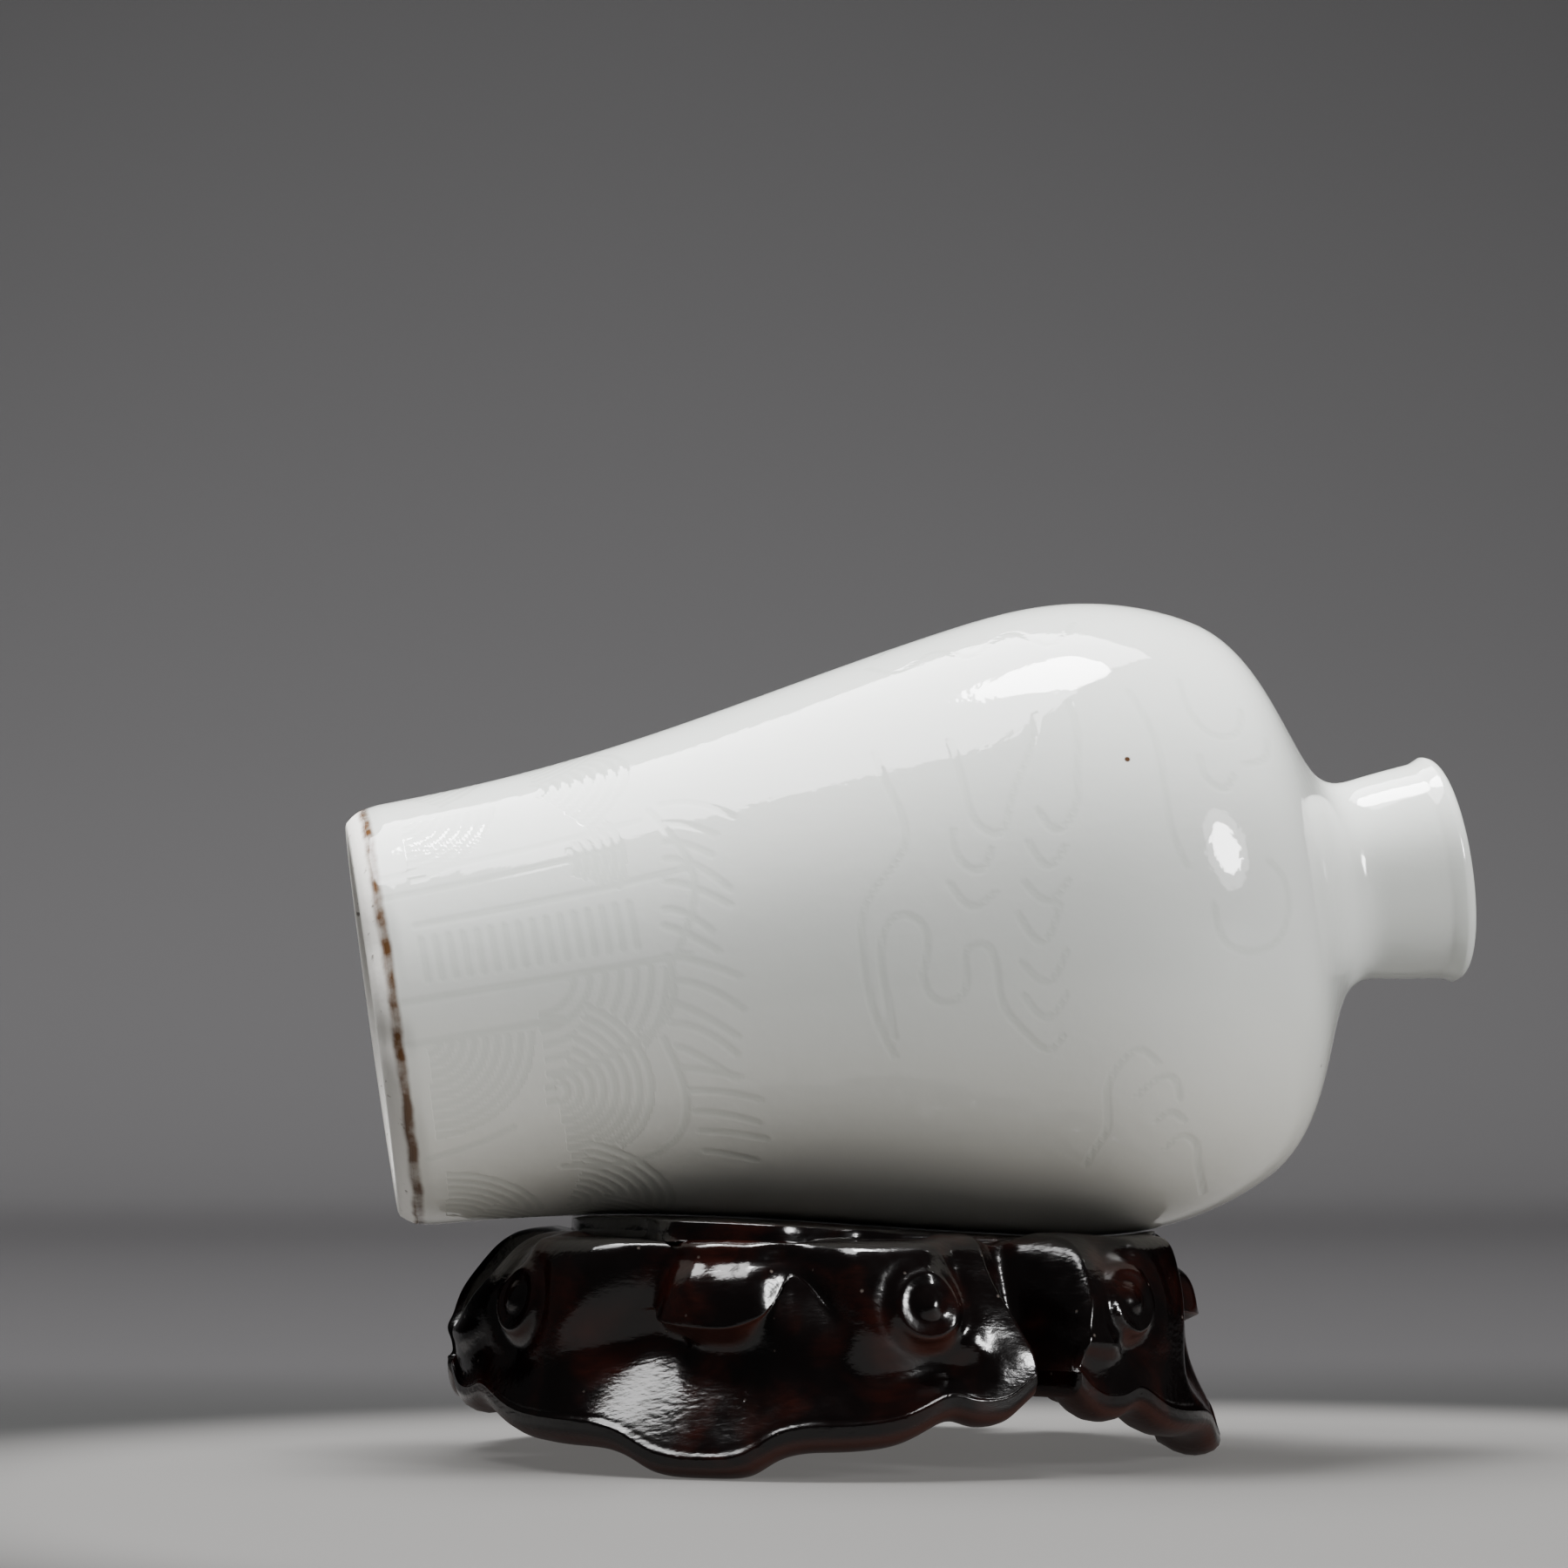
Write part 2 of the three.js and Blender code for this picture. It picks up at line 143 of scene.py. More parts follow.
def closed_skin(rows: int, columns: int) -> list[np.ndarray]:
    """Numbers the faces of a skin over rings of equal count, shut by one point at each end.

    The rings' vertices come first, ring after ring, then the point before the first ring and the
    point after the last one.

    Args:
        rows: how many rings.
        columns: vertices in each ring.

    Returns:
        The four-cornered faces and the two fans of triangles.
    """
    row, column = np.meshgrid(np.arange(rows - 1), np.arange(columns), indexing="ij")
    here = row * columns + column
    beside = row * columns + (column + 1) % columns
    walls = np.stack([here, beside, beside + columns, here + columns], axis=-1).reshape(-1, 4)
    around = np.arange(columns)
    after = (around + 1) % columns
    count = rows * columns
    first = np.stack([np.full(columns, count), after, around], axis=-1)
    final = count - columns
    last = np.stack([np.full(columns, count + 1), final + around, final + after], axis=-1)
    return [walls, first, last]


def smooth_curve(places: np.ndarray, values: np.ndarray, at: np.ndarray) -> np.ndarray:
    """Runs natural cubic splines through stations: second slopes from one tridiagonal solve.

    Args:
        places: where the stations are, rising.
        values: the value at each station, or one row of values for several curves.
        at: the places to read.

    Returns:
        The value, or the row of values, at each place.
    """
    values = np.asarray(values, float)
    flat = values.reshape(len(places), -1)
    step = np.diff(places)
    inner = np.arange(1, len(places) - 1)
    system = np.eye(len(places))
    system[inner, inner - 1] = step[:-1]
    system[inner, inner] = 2 * (step[:-1] + step[1:])
    system[inner, inner + 1] = step[1:]
    slope = np.diff(flat, axis=0) / step[:, None]
    right = np.zeros_like(flat)
    right[inner] = 6 * (slope[1:] - slope[:-1])
    bend = np.linalg.solve(system, right)
    k = np.clip(np.searchsorted(places, at) - 1, 0, len(places) - 2)
    h = step[k][:, None]
    before = (places[k + 1] - at)[:, None]
    after = (at - places[k])[:, None]
    curve = (
        (bend[k] * before**3 + bend[k + 1] * after**3) / (6 * h)
        + (flat[k] / h - bend[k] * h / 6) * before
        + (flat[k + 1] / h - bend[k + 1] * h / 6) * after
    )
    return curve.reshape((len(at),) + values.shape[1:])


def ease(x: np.ndarray, start: float | np.ndarray, end: float | np.ndarray) -> np.ndarray:
    """Rises from 0 at start to 1 at end along the smooth step 3 t^2 - 2 t^3."""
    share = np.clip((x - start) / (end - start), 0, 1)
    return share * share * (3 - 2 * share)


def bump(x: np.ndarray, width: float) -> np.ndarray:
    """A bell of height 1: exp(-(x / width)^2 / 2)."""
    return np.exp(-((x / width) ** 2) / 2)


def mix(
    a: float | np.ndarray, b: float | np.ndarray, share: float | np.ndarray
) -> float | np.ndarray:
    """Goes from a at share 0 to b at share 1."""
    return a + (b - a) * share


@dataclass
class Bottle:
    """The porcelain bottle: a turned form, hollow, lying with its axis rising towards the mouth.

    Lengths are in millimetres. The outline gives place along the axis and radius. Corners of the
    recess are set from its floor and the ring's inner edge, those of the ring from the foot's plane
    and the bevel's foot. Throat steps give depth below the mouth and how much wider than the bore it
    is there. A notch has a middle and a half-width in degrees of turn, and a depth. A row zone has
    the place where it starts and its count of rings.
    """

    foot_x: float = -37.15
    foot_height: float = 29.6
    rise: float = math.radians(8.15)
    length: float = 75.99
    bevel_depth: float = 0.75
    ring_width: float = 2.6
    recess_depth: float = 1.4
    recess_corners: tuple[tuple[float, float], ...] = (
        (0.0, -2.0),
        (-0.1, -1.0),
        (-0.7, -0.35),
        (-1.28, 0.0),
        (-1.4, 0.3),
    )
    ring_corners: tuple[tuple[float, float], ...] = ((0.0, -0.25), (0.1, 0.0), (0.5, 0.3375), (0.9, 0.585))
    lip_radius: float = 0.85
    lip_turn: float = 150.0
    lip_rows: int = 12
    mouth_radius: float = 7.95
    throat_steps: tuple[tuple[float, float], ...] = ((1.1, 1.75), (1.8, 0.825), (3.0, 0.15), (4.5, 0.0))
    wall: float = 2.1
    floor: float = 3.4
    bore: float = 4.6
    bore_end: float = 64.4
    bore_edge: float = 0.3
    sides: int = 360
    row_zones: tuple[tuple[float, int], ...] = ((1.2, 100), (22.5, 104), (62.5, 32))
    inner_rows: int = 12
    foot_fade: tuple[float, float] = (0.9, 2.5)
    foot_waver: float = 0.12
    worn_beyond: float = 11.5
    notches: tuple[tuple[float, float, float], ...] = (
        (71.0, 7.0, 0.3),
        (97.0, 3.0, 0.25),
        (215.0, 6.0, 0.25),
    )
    outline: tuple[tuple[float, float], ...] = (
        (1.2, 14.45),
        (9.0, 14.98),
        (20.0, 16.5),
        (32.0, 18.98),
        (43.0, 21.22),
        (49.0, 21.98),
        (54.5, 21.52),
        (59.0, 20.0),
        (63.0, 16.2),
        (65.3, 11.3),
        (67.0, 8.2),
        (70.5, 7.12),
        (74.4, 7.62),
    )
    inset: float = 0.02

    def body_radius(self, along: np.ndarray) -> np.ndarray:
        """Reads the smooth outline of the glazed body.

        Args:
            along: places along the axis from the foot, in millimetres.

        Returns:
            The radius there.
        """
        stations = np.array(self.outline)
        return smooth_curve(stations[:, 0], stations[:, 1] - self.inset, along)

    def outer_places(self) -> np.ndarray:
        """Sets the rings of the outside, closest over the fine waves above the foot.

        Returns:
            Places along the axis in millimetres.
        """
        ends = (*(start for start, _ in self.row_zones[1:]), self.outline[-1][0])
        zones = [np.linspace(a, b, rows, endpoint=False) for (a, rows), b in zip(self.row_zones, ends)]
        return np.concatenate([*zones, ends[-1:]])

    def base_section(self) -> np.ndarray:
        """Walks the base: the recess, the bare ring and its bevel, up to the glaze.

        Returns:
            Rows of place along the axis and radius, in millimetres.
        """
        bevel_foot = self.outline[0][1] - self.bevel_depth
        middle = np.array([[self.recess_depth, 0.0]])
        recess = np.array(self.recess_corners) + (self.recess_depth, bevel_foot - self.ring_width)
        ring = np.array(self.ring_corners) + (0.0, bevel_foot)
        return np.vstack([middle, recess, ring])

    def section(self) -> np.ndarray:
        """Walks the section from the middle of the base, up the outside and down the inside.

        The lip is an arc of the lip's radius; the inside keeps the wall's thickness from the outline
        down to the floor, and a round corner stands on it.

        Returns:
            Rows of place along the axis and radius, in millimetres.
        """
        along = self.outer_places()
        outer = np.c_[along, self.body_radius(along)]
        turn = np.radians(np.linspace(0, self.lip_turn, self.lip_rows))
        lip = self.lip_radius * np.c_[np.sin(turn), np.cos(turn)]
        lip += (self.length - self.lip_radius, self.mouth_radius - self.lip_radius)
        depth, wider = np.array(self.throat_steps).T
        throat = np.c_[self.length - depth, self.bore + wider]
        bore = np.array([[self.bore_end, self.bore]])
        inside = np.linspace(self.bore_end - self.bore_edge, self.floor + self.wall, self.inner_rows)
        inner = np.c_[inside, np.maximum(self.body_radius(inside) - self.wall, self.bore)]
        floor = np.array([[self.floor, inner[-1, 1] - self.wall], [self.floor, 0.0]])
        return np.vstack([self.base_section(), outer, lip, throat, bore, inner, floor])

    def glazed_rings(self) -> slice:
        """Numbers the rings of the outside above the bevel's edge, where ornament may lie."""
        first = len(self.base_section())
        return slice(first, first - 1 + len(self.outer_places()))

    def foot_wear(self, along: np.ndarray, angle: np.ndarray) -> np.ndarray:
        """How far the hand-trimmed foot falls short of a true circle: slow waves and a few notches.

        w = e(s) (c + c sin 5a sin(2a + 1) + sum of notches d_k exp(-((a - a_k) / w_k)^2 / 2)), where
        c is the waver and e fades from 1 on the foot to 0 a little way along the bottle.

        Args:
            along: places along the axis in millimetres.
            angle: turns in radians, positive towards the viewer.

        Returns:
            Millimetres inward.
        """
        fade = 1 - ease(along, *self.foot_fade)
        worn = self.foot_waver * (1 + np.sin(5 * angle) * np.sin(2 * angle + 1))
        for turn, width, depth in self.notches:
            away = (np.degrees(angle) - turn + 180) % 360 - 180
            worn = worn + depth * bump(away, width)
        return worn * fade

    def place(self, along: np.ndarray, radius: np.ndarray, angle: np.ndarray) -> np.ndarray:
        """Carries axis, radius and angle to the object's frame: turned about the axis, raised, then moved.

        Args:
            along: places along the axis in millimetres.
            radius: radii in millimetres.
            angle: turns about the axis, zero towards the top.

        Returns:
            Points in metres.
        """
        across, up = radius * np.sin(angle), radius * np.cos(angle)
        x = self.foot_x + along * math.cos(self.rise) - up * math.sin(self.rise)
        z = self.foot_height + along * math.sin(self.rise) + up * math.cos(self.rise)
        return np.stack([x, across, z], axis=-1) * MM

    def rings(self) -> tuple[np.ndarray, np.ndarray, np.ndarray]:
        """Spreads the section round the axis.

        Returns:
            Place along the axis, radius and turn of every vertex, one row for each ring; the turn is
            in radians, zero at the top and positive towards the viewer.
        """
        rings = self.section()[1:-1]
        turn = np.linspace(0, 2 * math.pi, self.sides, endpoint=False)
        along = rings[:, :1] + 0 * turn
        turns = turn + 0 * along
        worn = self.foot_wear(along, turns) * (rings[:, 1:] > self.worn_beyond)
        return along, rings[:, 1:] - worn, turns

    def build(self, glaze: bpy.types.Material, incised: np.ndarray) -> bpy.types.Object:
        """Revolves the section, closes it at both ends on the axis and hands the ornament to the glaze.

        Args:
            glaze: the finish.
            incised: distance from the nearest incised line at every vertex of the rings, in millimetres.

        Returns:
            The bottle.
        """
        along, radius, turn = self.rings()
        section = self.section()
        grid = self.place(along, radius, -turn)
        ends = self.place(section[[0, -1], 0], np.zeros(2), np.zeros(2))
        points = np.vstack([grid.reshape(-1, 3), ends])
        piece = make_mesh("porcelain_bottle", points, closed_skin(len(along), self.sides), glaze)
        layer = piece.data.attributes.new("incised", "FLOAT", "POINT")
        layer.data.foreach_set("value", np.append(incised, incised[[0, -1]]).astype(np.float32))
        return piece


@dataclass(frozen=True)
class WaveScale:
    """One scale of the wave pattern: nested arcs about a middle on the unrolled surface.

    Places are millimetres along the bottle and degrees of turn; arcs run between two directions, in
    degrees from the way to the mouth towards rising turn.
    """

    place: float
    turn: float
    first: float
    step: float
    count: int
    start: float
    end: float

    def cover(self, along: np.ndarray, turn: np.ndarray, radius: np.ndarray, least: np.ndarray) -> None:
        """Lays the scale over what was cut there before.

        With r the distance from the scale's middle, the nearest arc is number
        k = round((r - first) / step), and the distance to it |r - first - k step|.

        Args:
            along: places in millimetres.
            turn: turns in degrees.
            radius: the bottle's radius at each place, in millimetres.
            least: distance to the nearest line so far; changed where the scale lies.
        """
        x = along - self.place
        y = np.radians((turn - self.turn + 180) % 360 - 180) * radius
        away = np.hypot(x, y)
        toward = np.degrees(np.arctan2(y, x))
        covered = away < self.first + self.step * (self.count - 0.5)
        covered &= (toward > self.start) & (toward < self.end)
        nearest = np.clip(np.round((away - self.first) / self.step), 0, self.count - 1)
        least[covered] = np.abs(away - self.first - nearest * self.step)[covered]


@dataclass(frozen=True)
class Decoration:
    """The incised ornament: a band of waves and spray above the foot, drifting clouds on the body.

    Places are millimetres along the bottle and degrees of turn from the top towards the viewer. A
    panel edge has its start, its end and its turn. Crests and clouds are stations of smooth lines.
    """

    scales: tuple[WaveScale, ...] = (
        WaveScale(3.0, 98.5, 0.9, 0.75, 9, 2, 92),
        WaveScale(10.6, 86.0, 2.6, 1.0, 7, 4, 92),
        WaveScale(11.0, 116.0, 0.8, 0.78, 8, -65, 85),
        WaveScale(12.2, 58.5, 2.3, 0.62, 6, -35, 30),
        WaveScale(12.2, 28.0, 1.2, 0.8, 8, -80, 60),
        WaveScale(3.5, 30.0, 0.9, 0.75, 8, 0, 90),
        WaveScale(3.0, 165.0, 0.9, 0.8, 8, -88, 0),
        WaveScale(11.0, 158.0, 0.8, 0.8, 9, -75, 80),
        WaveScale(3.0, 2.0, 0.9, 0.8, 8, -60, 60),
        WaveScale(11.5, 0.0, 1.0, 0.8, 8, -70, 75),
    )
    panel_edges: tuple[tuple[float, float, float], ...] = (
        (3.4, 21.4, 67.0),
        (1.8, 20.8, 87.0),
        (1.8, 12.0, 98.0),
        (1.8, 17.5, 57.5),
        (1.8, 19.0, 51.0),
    )
    panel_slant: tuple[float, float] = (1.0, -0.5)
    hatch_places: tuple[float, float] = (3.6, 18.2)
    hatch_turns: tuple[float, float] = (72.0, 83.0)
    hatch_step: float = 0.92
    hatch_slant: float = 0.1
    crests: tuple[tuple[tuple[float, float], ...], ...] = (
        ((19.8, 48.0), (21.0, 58.0), (21.8, 67.0), (21.2, 78.0), (19.6, 87.5)),
        ((19.4, 87.5), (19.2, 97.0), (16.0, 106.0), (11.0, 112.0)),
        ((18.4, 105.0), (19.3, 116.0), (19.0, 129.0), (16.0, 139.0), (11.0, 140.0)),
        ((8.0, 125.0), (5.0, 130.0), (2.2, 133.0)),
    )
    clouds: tuple[tuple[tuple[float, float], ...], ...] = (
        (
            (34.9, 50.0), (35.3, 59.0), (35.6, 72.0), (34.2, 77.0),
            (32.5, 82.0), (31.8, 92.0), (32.1, 104.0), (33.1, 113.0),
        ),
        ((33.2, 109.0), (32.9, 97.0), (33.2, 89.0), (34.3, 85.4), (35.7, 87.0), (35.9, 93.0), (35.4, 97.0)),
        (
            (35.4, 97.0), (36.2, 102.5), (37.4, 102.5), (38.2, 98.5),
            (38.5, 93.5), (39.6, 93.0), (40.2, 97.0),
        ),
        ((40.2, 97.0), (40.4, 105.0), (41.6, 110.0), (43.0, 113.5), (43.9, 111.0)),
        (
            (39.9, 52.0), (40.1, 65.0), (40.7, 72.0), (41.7, 73.5),
            (42.5, 70.0), (43.7, 63.5), (45.0, 57.5), (45.8, 51.0),
        ),
        ((48.1, 50.0), (48.0, 58.0), (47.4, 65.0), (46.7, 72.0), (45.4, 75.0), (44.4, 70.5)),
        ((38.8, 71.0), (38.9, 77.0), (40.0, 79.6), (41.0, 76.0)),
        ((38.0, 81.0), (39.2, 86.0), (40.8, 84.0)),
        ((43.4, 76.0), (44.4, 81.0), (45.7, 78.0)),
        ((42.7, 83.0), (44.0, 87.0), (45.5, 84.0)),
        ((42.0, 88.5), (43.2, 94.0), (44.7, 88.0)),
        ((41.8, 97.0), (43.2, 101.0), (44.7, 96.0)),
        ((41.7, 103.0), (43.0, 107.5), (44.4, 103.5)),
        ((52.2, 49.0), (53.0, 60.0), (52.9, 70.0), (52.9, 80.0), (53.4, 84.5)),
        ((56.0, 46.0), (56.0, 54.0), (57.2, 59.5), (58.6, 59.0), (59.8, 52.0)),
        ((55.8, 64.0), (56.0, 69.0), (57.0, 70.8), (57.9, 68.0)),
        ((61.2, 58.0), (60.5, 63.5), (58.9, 65.5)),
        (
            (54.8, 91.5), (55.3, 98.5), (57.0, 101.0), (59.0, 100.0),
            (60.1, 95.0), (60.0, 88.0), (59.2, 85.0),
        ),
        (
            (45.2, 139.5), (45.8, 135.0), (46.5, 131.0), (46.6, 122.0),
            (47.4, 117.5), (48.8, 115.0), (50.0, 118.0),
        ),
        ((48.5, 124.0), (49.6, 121.5), (50.8, 121.0), (51.4, 126.0)),
        ((49.7, 130.0), (50.8, 128.5), (51.7, 131.0)),
        ((50.4, 137.0), (51.6, 134.5), (52.6, 137.5), (52.8, 142.0), (53.2, 148.0), (53.7, 155.0)),
        ((36.5, 18.0), (38.5, 26.0), (41.0, 22.0), (43.0, 30.0), (46.0, 24.0), (48.0, 33.0), (50.5, 25.0)),
        ((37.5, 12.0), (40.0, 4.0), (44.0, 8.0), (47.0, 0.0), (50.0, 6.0)),
    )
    spray_seed: int = 7
    spray_count: int = 17
    spray_turns: tuple[float, float] = (50.0, 138.0)
    spray_root: float = 20.6
    spray_sway: float = 1.6
    spray_lengths: tuple[float, float] = (2.8, 5.0)
    spray_bends: tuple[float, float] = (6.0, 11.0)
    spray_powers: tuple[float, float] = (1.2, 1.9)
    straighter_from: float = 112.0
    straighter: float = 0.4
    degrees_per_mm: float = 3.0
    repeat: float = 178.0
    reach: float = 1.2
    uncut: float = 2.0

    def lines(self) -> list[np.ndarray]:
        """Draws every incised line outside the scales once for each side of the bottle.

        Returns:
            Arrays of points, place in millimetres and turn in degrees.
        """
        drawn = []
        for start, end, turn in self.panel_edges:
            drawn.append(np.c_[[start, end], np.add(turn, self.panel_slant)])
        for place in np.arange(*self.hatch_places, self.hatch_step):
            drawn.append(np.c_[[place, place + self.hatch_slant], self.hatch_turns])
        for stations in (*self.crests, *self.clouds):
            knots = np.array(stations)
            steps = np.diff(knots, axis=0) / (1.0, self.degrees_per_mm)
            run = np.append(0, np.cumsum(np.hypot(*steps.T)))
            drawn.append(smooth_curve(run, knots, np.linspace(0, run[-1], 8 * len(knots))))
        drawn += self.spray()
        return drawn + [line + np.array([0.0, self.repeat]) for line in drawn]

    def spray(self) -> list[np.ndarray]:
        """Draws the strokes of spray that fly off the crests, each along a power curve.

        Returns:
            Arrays of points, place in millimetres and turn in degrees.
        """
        rng = np.random.default_rng(self.spray_seed)
        run = np.linspace(0, 1, 7)
        first, last = self.spray_turns
        strokes = []
        for turn in np.linspace(first, last, self.spray_count) + rng.uniform(-1, 1, self.spray_count):
            root = self.spray_root - self.spray_sway * math.sin(math.radians(turn - first) * 1.8) ** 2
            length = rng.uniform(*self.spray_lengths)
            bend = rng.uniform(*self.spray_bends) * (1 if turn < self.straighter_from else self.straighter)
            power = rng.uniform(*self.spray_powers)
            strokes.append(np.c_[root + length * run, turn - 3 + bend * run**power])
        return strokes

    def distance(self, along: np.ndarray, turn: np.ndarray, radius: np.ndarray) -> np.ndarray:
        """Measures how far each place is from the nearest incised line, on the unrolled surface.

        Each line's points are joined by straight pieces. The distance to a piece from a to b is
        |p - a - t (b - a)| with t = clip((p - a)(b - a) / |b - a|^2, 0, 1).

        Args:
            along: places in millimetres.
            turn: turns in degrees.
            radius: radii in millimetres.

        Returns:
            Millimetres, at most the reach of the search.
        """
        least = np.full(len(along), self.reach)
        for scale in self.scales:
            scale.cover(along, turn, radius, least)
            scale.cover(along, turn - self.repeat, radius, least)
        for line in self.lines():
            middle = (turn[:, None] - line[None, :1, 1] + 180) % 360 - 180 + line[0, 1]
            near = (along > line[:, 0].min() - self.reach) & (along < line[:, 0].max() + self.reach)
            beside = 2.5 * self.degrees_per_mm
            near &= (middle[:, 0] > line[:, 1].min() - beside) & (middle[:, 0] < line[:, 1].max() + beside)
            if not near.any():
                continue
            scale = np.radians(1) * radius[near]
            x, y = along[near][:, None], (middle[near, 0] * scale)[:, None]
            ax, ay = line[None, :-1, 0], line[None, :-1, 1] * scale[:, None]
            bx, by = line[None, 1:, 0], line[None, 1:, 1] * scale[:, None]
            length = np.maximum((bx - ax) ** 2 + (by - ay) ** 2, 1e-9)
            share = np.clip(((x - ax) * (bx - ax) + (y - ay) * (by - ay)) / length, 0, 1)
            gap = np.hypot(x - ax - share * (bx - ax), y - ay - share * (by - ay)).min(axis=1)
            least[near] = np.minimum(least[near], gap)
        return least

    def cut_into(self, bottle: Bottle) -> np.ndarray:
        """Measures the distance to the nearest incised line at every vertex of the bottle's rings.

        Args:
            bottle: the form that the lines lie on.

        Returns:
            Millimetres, ring after ring; where no ornament may lie, more than any cut is wide.
        """
        along, radius, turn = bottle.rings()
        least = self.distance(along.ravel(), np.degrees(turn).ravel(), radius.ravel())
        glazed = np.zeros(along.shape, bool)
        glazed[bottle.glazed_rings()] = True
        return np.where(glazed.ravel(), least, self.uncut)


@dataclass(frozen=True)
class Glaze:
    """Clear glaze over thrown and fired white porcelain, which gives the eye a hard, wet shine.

    The white is faintly cool, with painted warm shade below, and greyer where the glaze pools in the cuts.
    Lengths are in millimetres; the speck's edges are shares of its spacing.
    """

    name: str = "clear_glazed_porcelain"
    white: str = "#dfe0dc"
    cool: str = "#d3d7d3"
    # painted warm shade of the bottle's lower part
    warm_shade_tint: str = "#dcdad1"
    pooled: str = "#a9b0a6"
    bare: str = "#f7f4ee"
    iron: str = "#5b4028"
    speck: str = "#4b3524"
    tone_size: float = 14.29
    warm_shade_heights: tuple[float, float] = (36.0, 17.0)
    cut_edges: tuple[float, float] = (0.42, 0.06)
    pooled_share: float = 0.2
    speck_spacing: float = 6.993
    speck_edges: tuple[float, float] = (0.034, 0.022)
    specks_left_out: float = 0.6
    glaze_end: float = 1.41
    glaze_edge: float = 0.06
    edge_size: float = 2.381
    edge_wander: float = 0.5
    line_place: float = 0.12
    line_width: float = 0.7
    line_starts: float = 13.0
    blotch_size: float = 1.429
    base_edge: float = 0.4
    grit_size: float = 0.7692
    peel_size: float = 1.111
    relief_depth: float = 0.06
    relief_strength: float = 0.25
    glazed_roughness: float = 0.04
    bare_roughness: float = 0.75
    index: float = 1.52
    depth_weight: float = 0.25
    depth_tint: tuple[float, float, float] = (0.9, 0.95, 0.9)
    depth: float = 1.2

    def build(self, bottle: Bottle) -> bpy.types.Material:
        """Builds the glaze's material.

        Args:
            bottle: the form, for its axis and the width of its foot ring.

        Returns:
            The material; it reads the vertex attribute incised, in millimetres.
        """
        material = bpy.data.materials.new(self.name)
        material.use_nodes = True
        tree = material.node_tree
        place = add_node(tree, "ShaderNodeTexCoord").outputs["Object"]
        # 0 on the plain surface, 1 in the middle of a cut.
        cut = add_node(tree, "ShaderNodeAttribute", {"attribute_name": "incised"})
        in_cut = add_node(
            tree,
            "ShaderNodeMapRange",
            {"interpolation_type": "SMOOTHSTEP"},
            value=cut.outputs["Fac"],
            from_min=self.cut_edges[0],
            from_max=self.cut_edges[1],
        ).outputs["Result"]
        grit = add_node(tree, "ShaderNodeTexNoise", vector=place, scale=per_size(self.grit_size), detail=2.0)
        glazed, rust = self.foot_edge(tree, place, bottle)
        body = self.body_tint(tree, grit.outputs["Fac"])
        skin = self.skin_tint(tree, place, in_cut)
        tint = add_node(tree, "ShaderNodeMix", {"data_type": "RGBA"}, i0=glazed, i6=body, i7=skin).outputs[2]
        tint = add_node(
            tree, "ShaderNodeMix", {"data_type": "RGBA"}, i0=rust, i6=tint, i7=linear(self.iron)
        ).outputs[2]
        gloss = add_node(
            tree,
            "ShaderNodeMapRange",
            value=glazed,
            to_min=self.bare_roughness,
            to_max=self.glazed_roughness,
        )
        shader = tree.nodes["Principled BSDF"]
        tree.links.new(tint, shader.inputs["Base Color"])
        tree.links.new(gloss.outputs["Result"], shader.inputs["Roughness"])
        normal = self.relief(tree, place, in_cut, glazed, grit.outputs["Fac"])
        tree.links.new(normal, shader.inputs["Normal"])
        shader.inputs["IOR"].default_value = self.index
        # Light goes about a millimetre into the glaze and the white body, which softens the shading.
        shader.inputs["Subsurface Weight"].default_value = self.depth_weight
        shader.inputs["Subsurface Radius"].default_value = self.depth_tint
        shader.inputs["Subsurface Scale"].default_value = self.depth * MM
        return material

    def skin_tint(
        self, tree: bpy.types.NodeTree, place: bpy.types.NodeSocket, in_cut: bpy.types.NodeSocket
    ) -> bpy.types.NodeSocket:
        """Colours the glazed surface.

        Args:
            tree: the material's node tree.
            place: places in metres.
            in_cut: 1 in the middle of an incised line, 0 beside it.

        Returns:
            The glaze's colour.
        """
        # Tones that drift over a centimetre or two, as a hand-dipped glaze has them.
        cloud = add_node(tree, "ShaderNodeTexNoise", vector=place, scale=per_size(self.tone_size), detail=3.0)
        tint = add_node(
            tree,
            "ShaderNodeMix",
            {"data_type": "RGBA"},
            i0=cloud.outputs["Fac"],
            i6=linear(self.white),
            i7=linear(self.cool),
        ).outputs[2]
        # Painted warm shade: towards its underside the glaze is tinted a trace warmer,
        # over the lower third of the form.
        height = add_node(tree, "ShaderNodeSeparateXYZ", vector=place).outputs["Z"]
        low = add_node(
            tree,
            "ShaderNodeMapRange",
            {"interpolation_type": "SMOOTHSTEP"},
            value=height,
            from_min=self.warm_shade_heights[0] * MM,
            from_max=self.warm_shade_heights[1] * MM,
        ).outputs["Result"]
        tint = add_node(
            tree, "ShaderNodeMix", {"data_type": "RGBA"}, i0=low, i6=tint, i7=linear(self.warm_shade_tint)
        ).outputs[2]
        # Glaze pools a little darker in the cuts, which are about half a millimetre wide.
        faint = add_node(tree, "ShaderNodeMath", {"operation": "MULTIPLY"}, i0=in_cut, i1=self.pooled_share)
        tint = add_node(
            tree, "ShaderNodeMix", {"data_type": "RGBA"}, i0=faint.outputs[0], i6=tint, i7=linear(self.pooled)
        ).outputs[2]
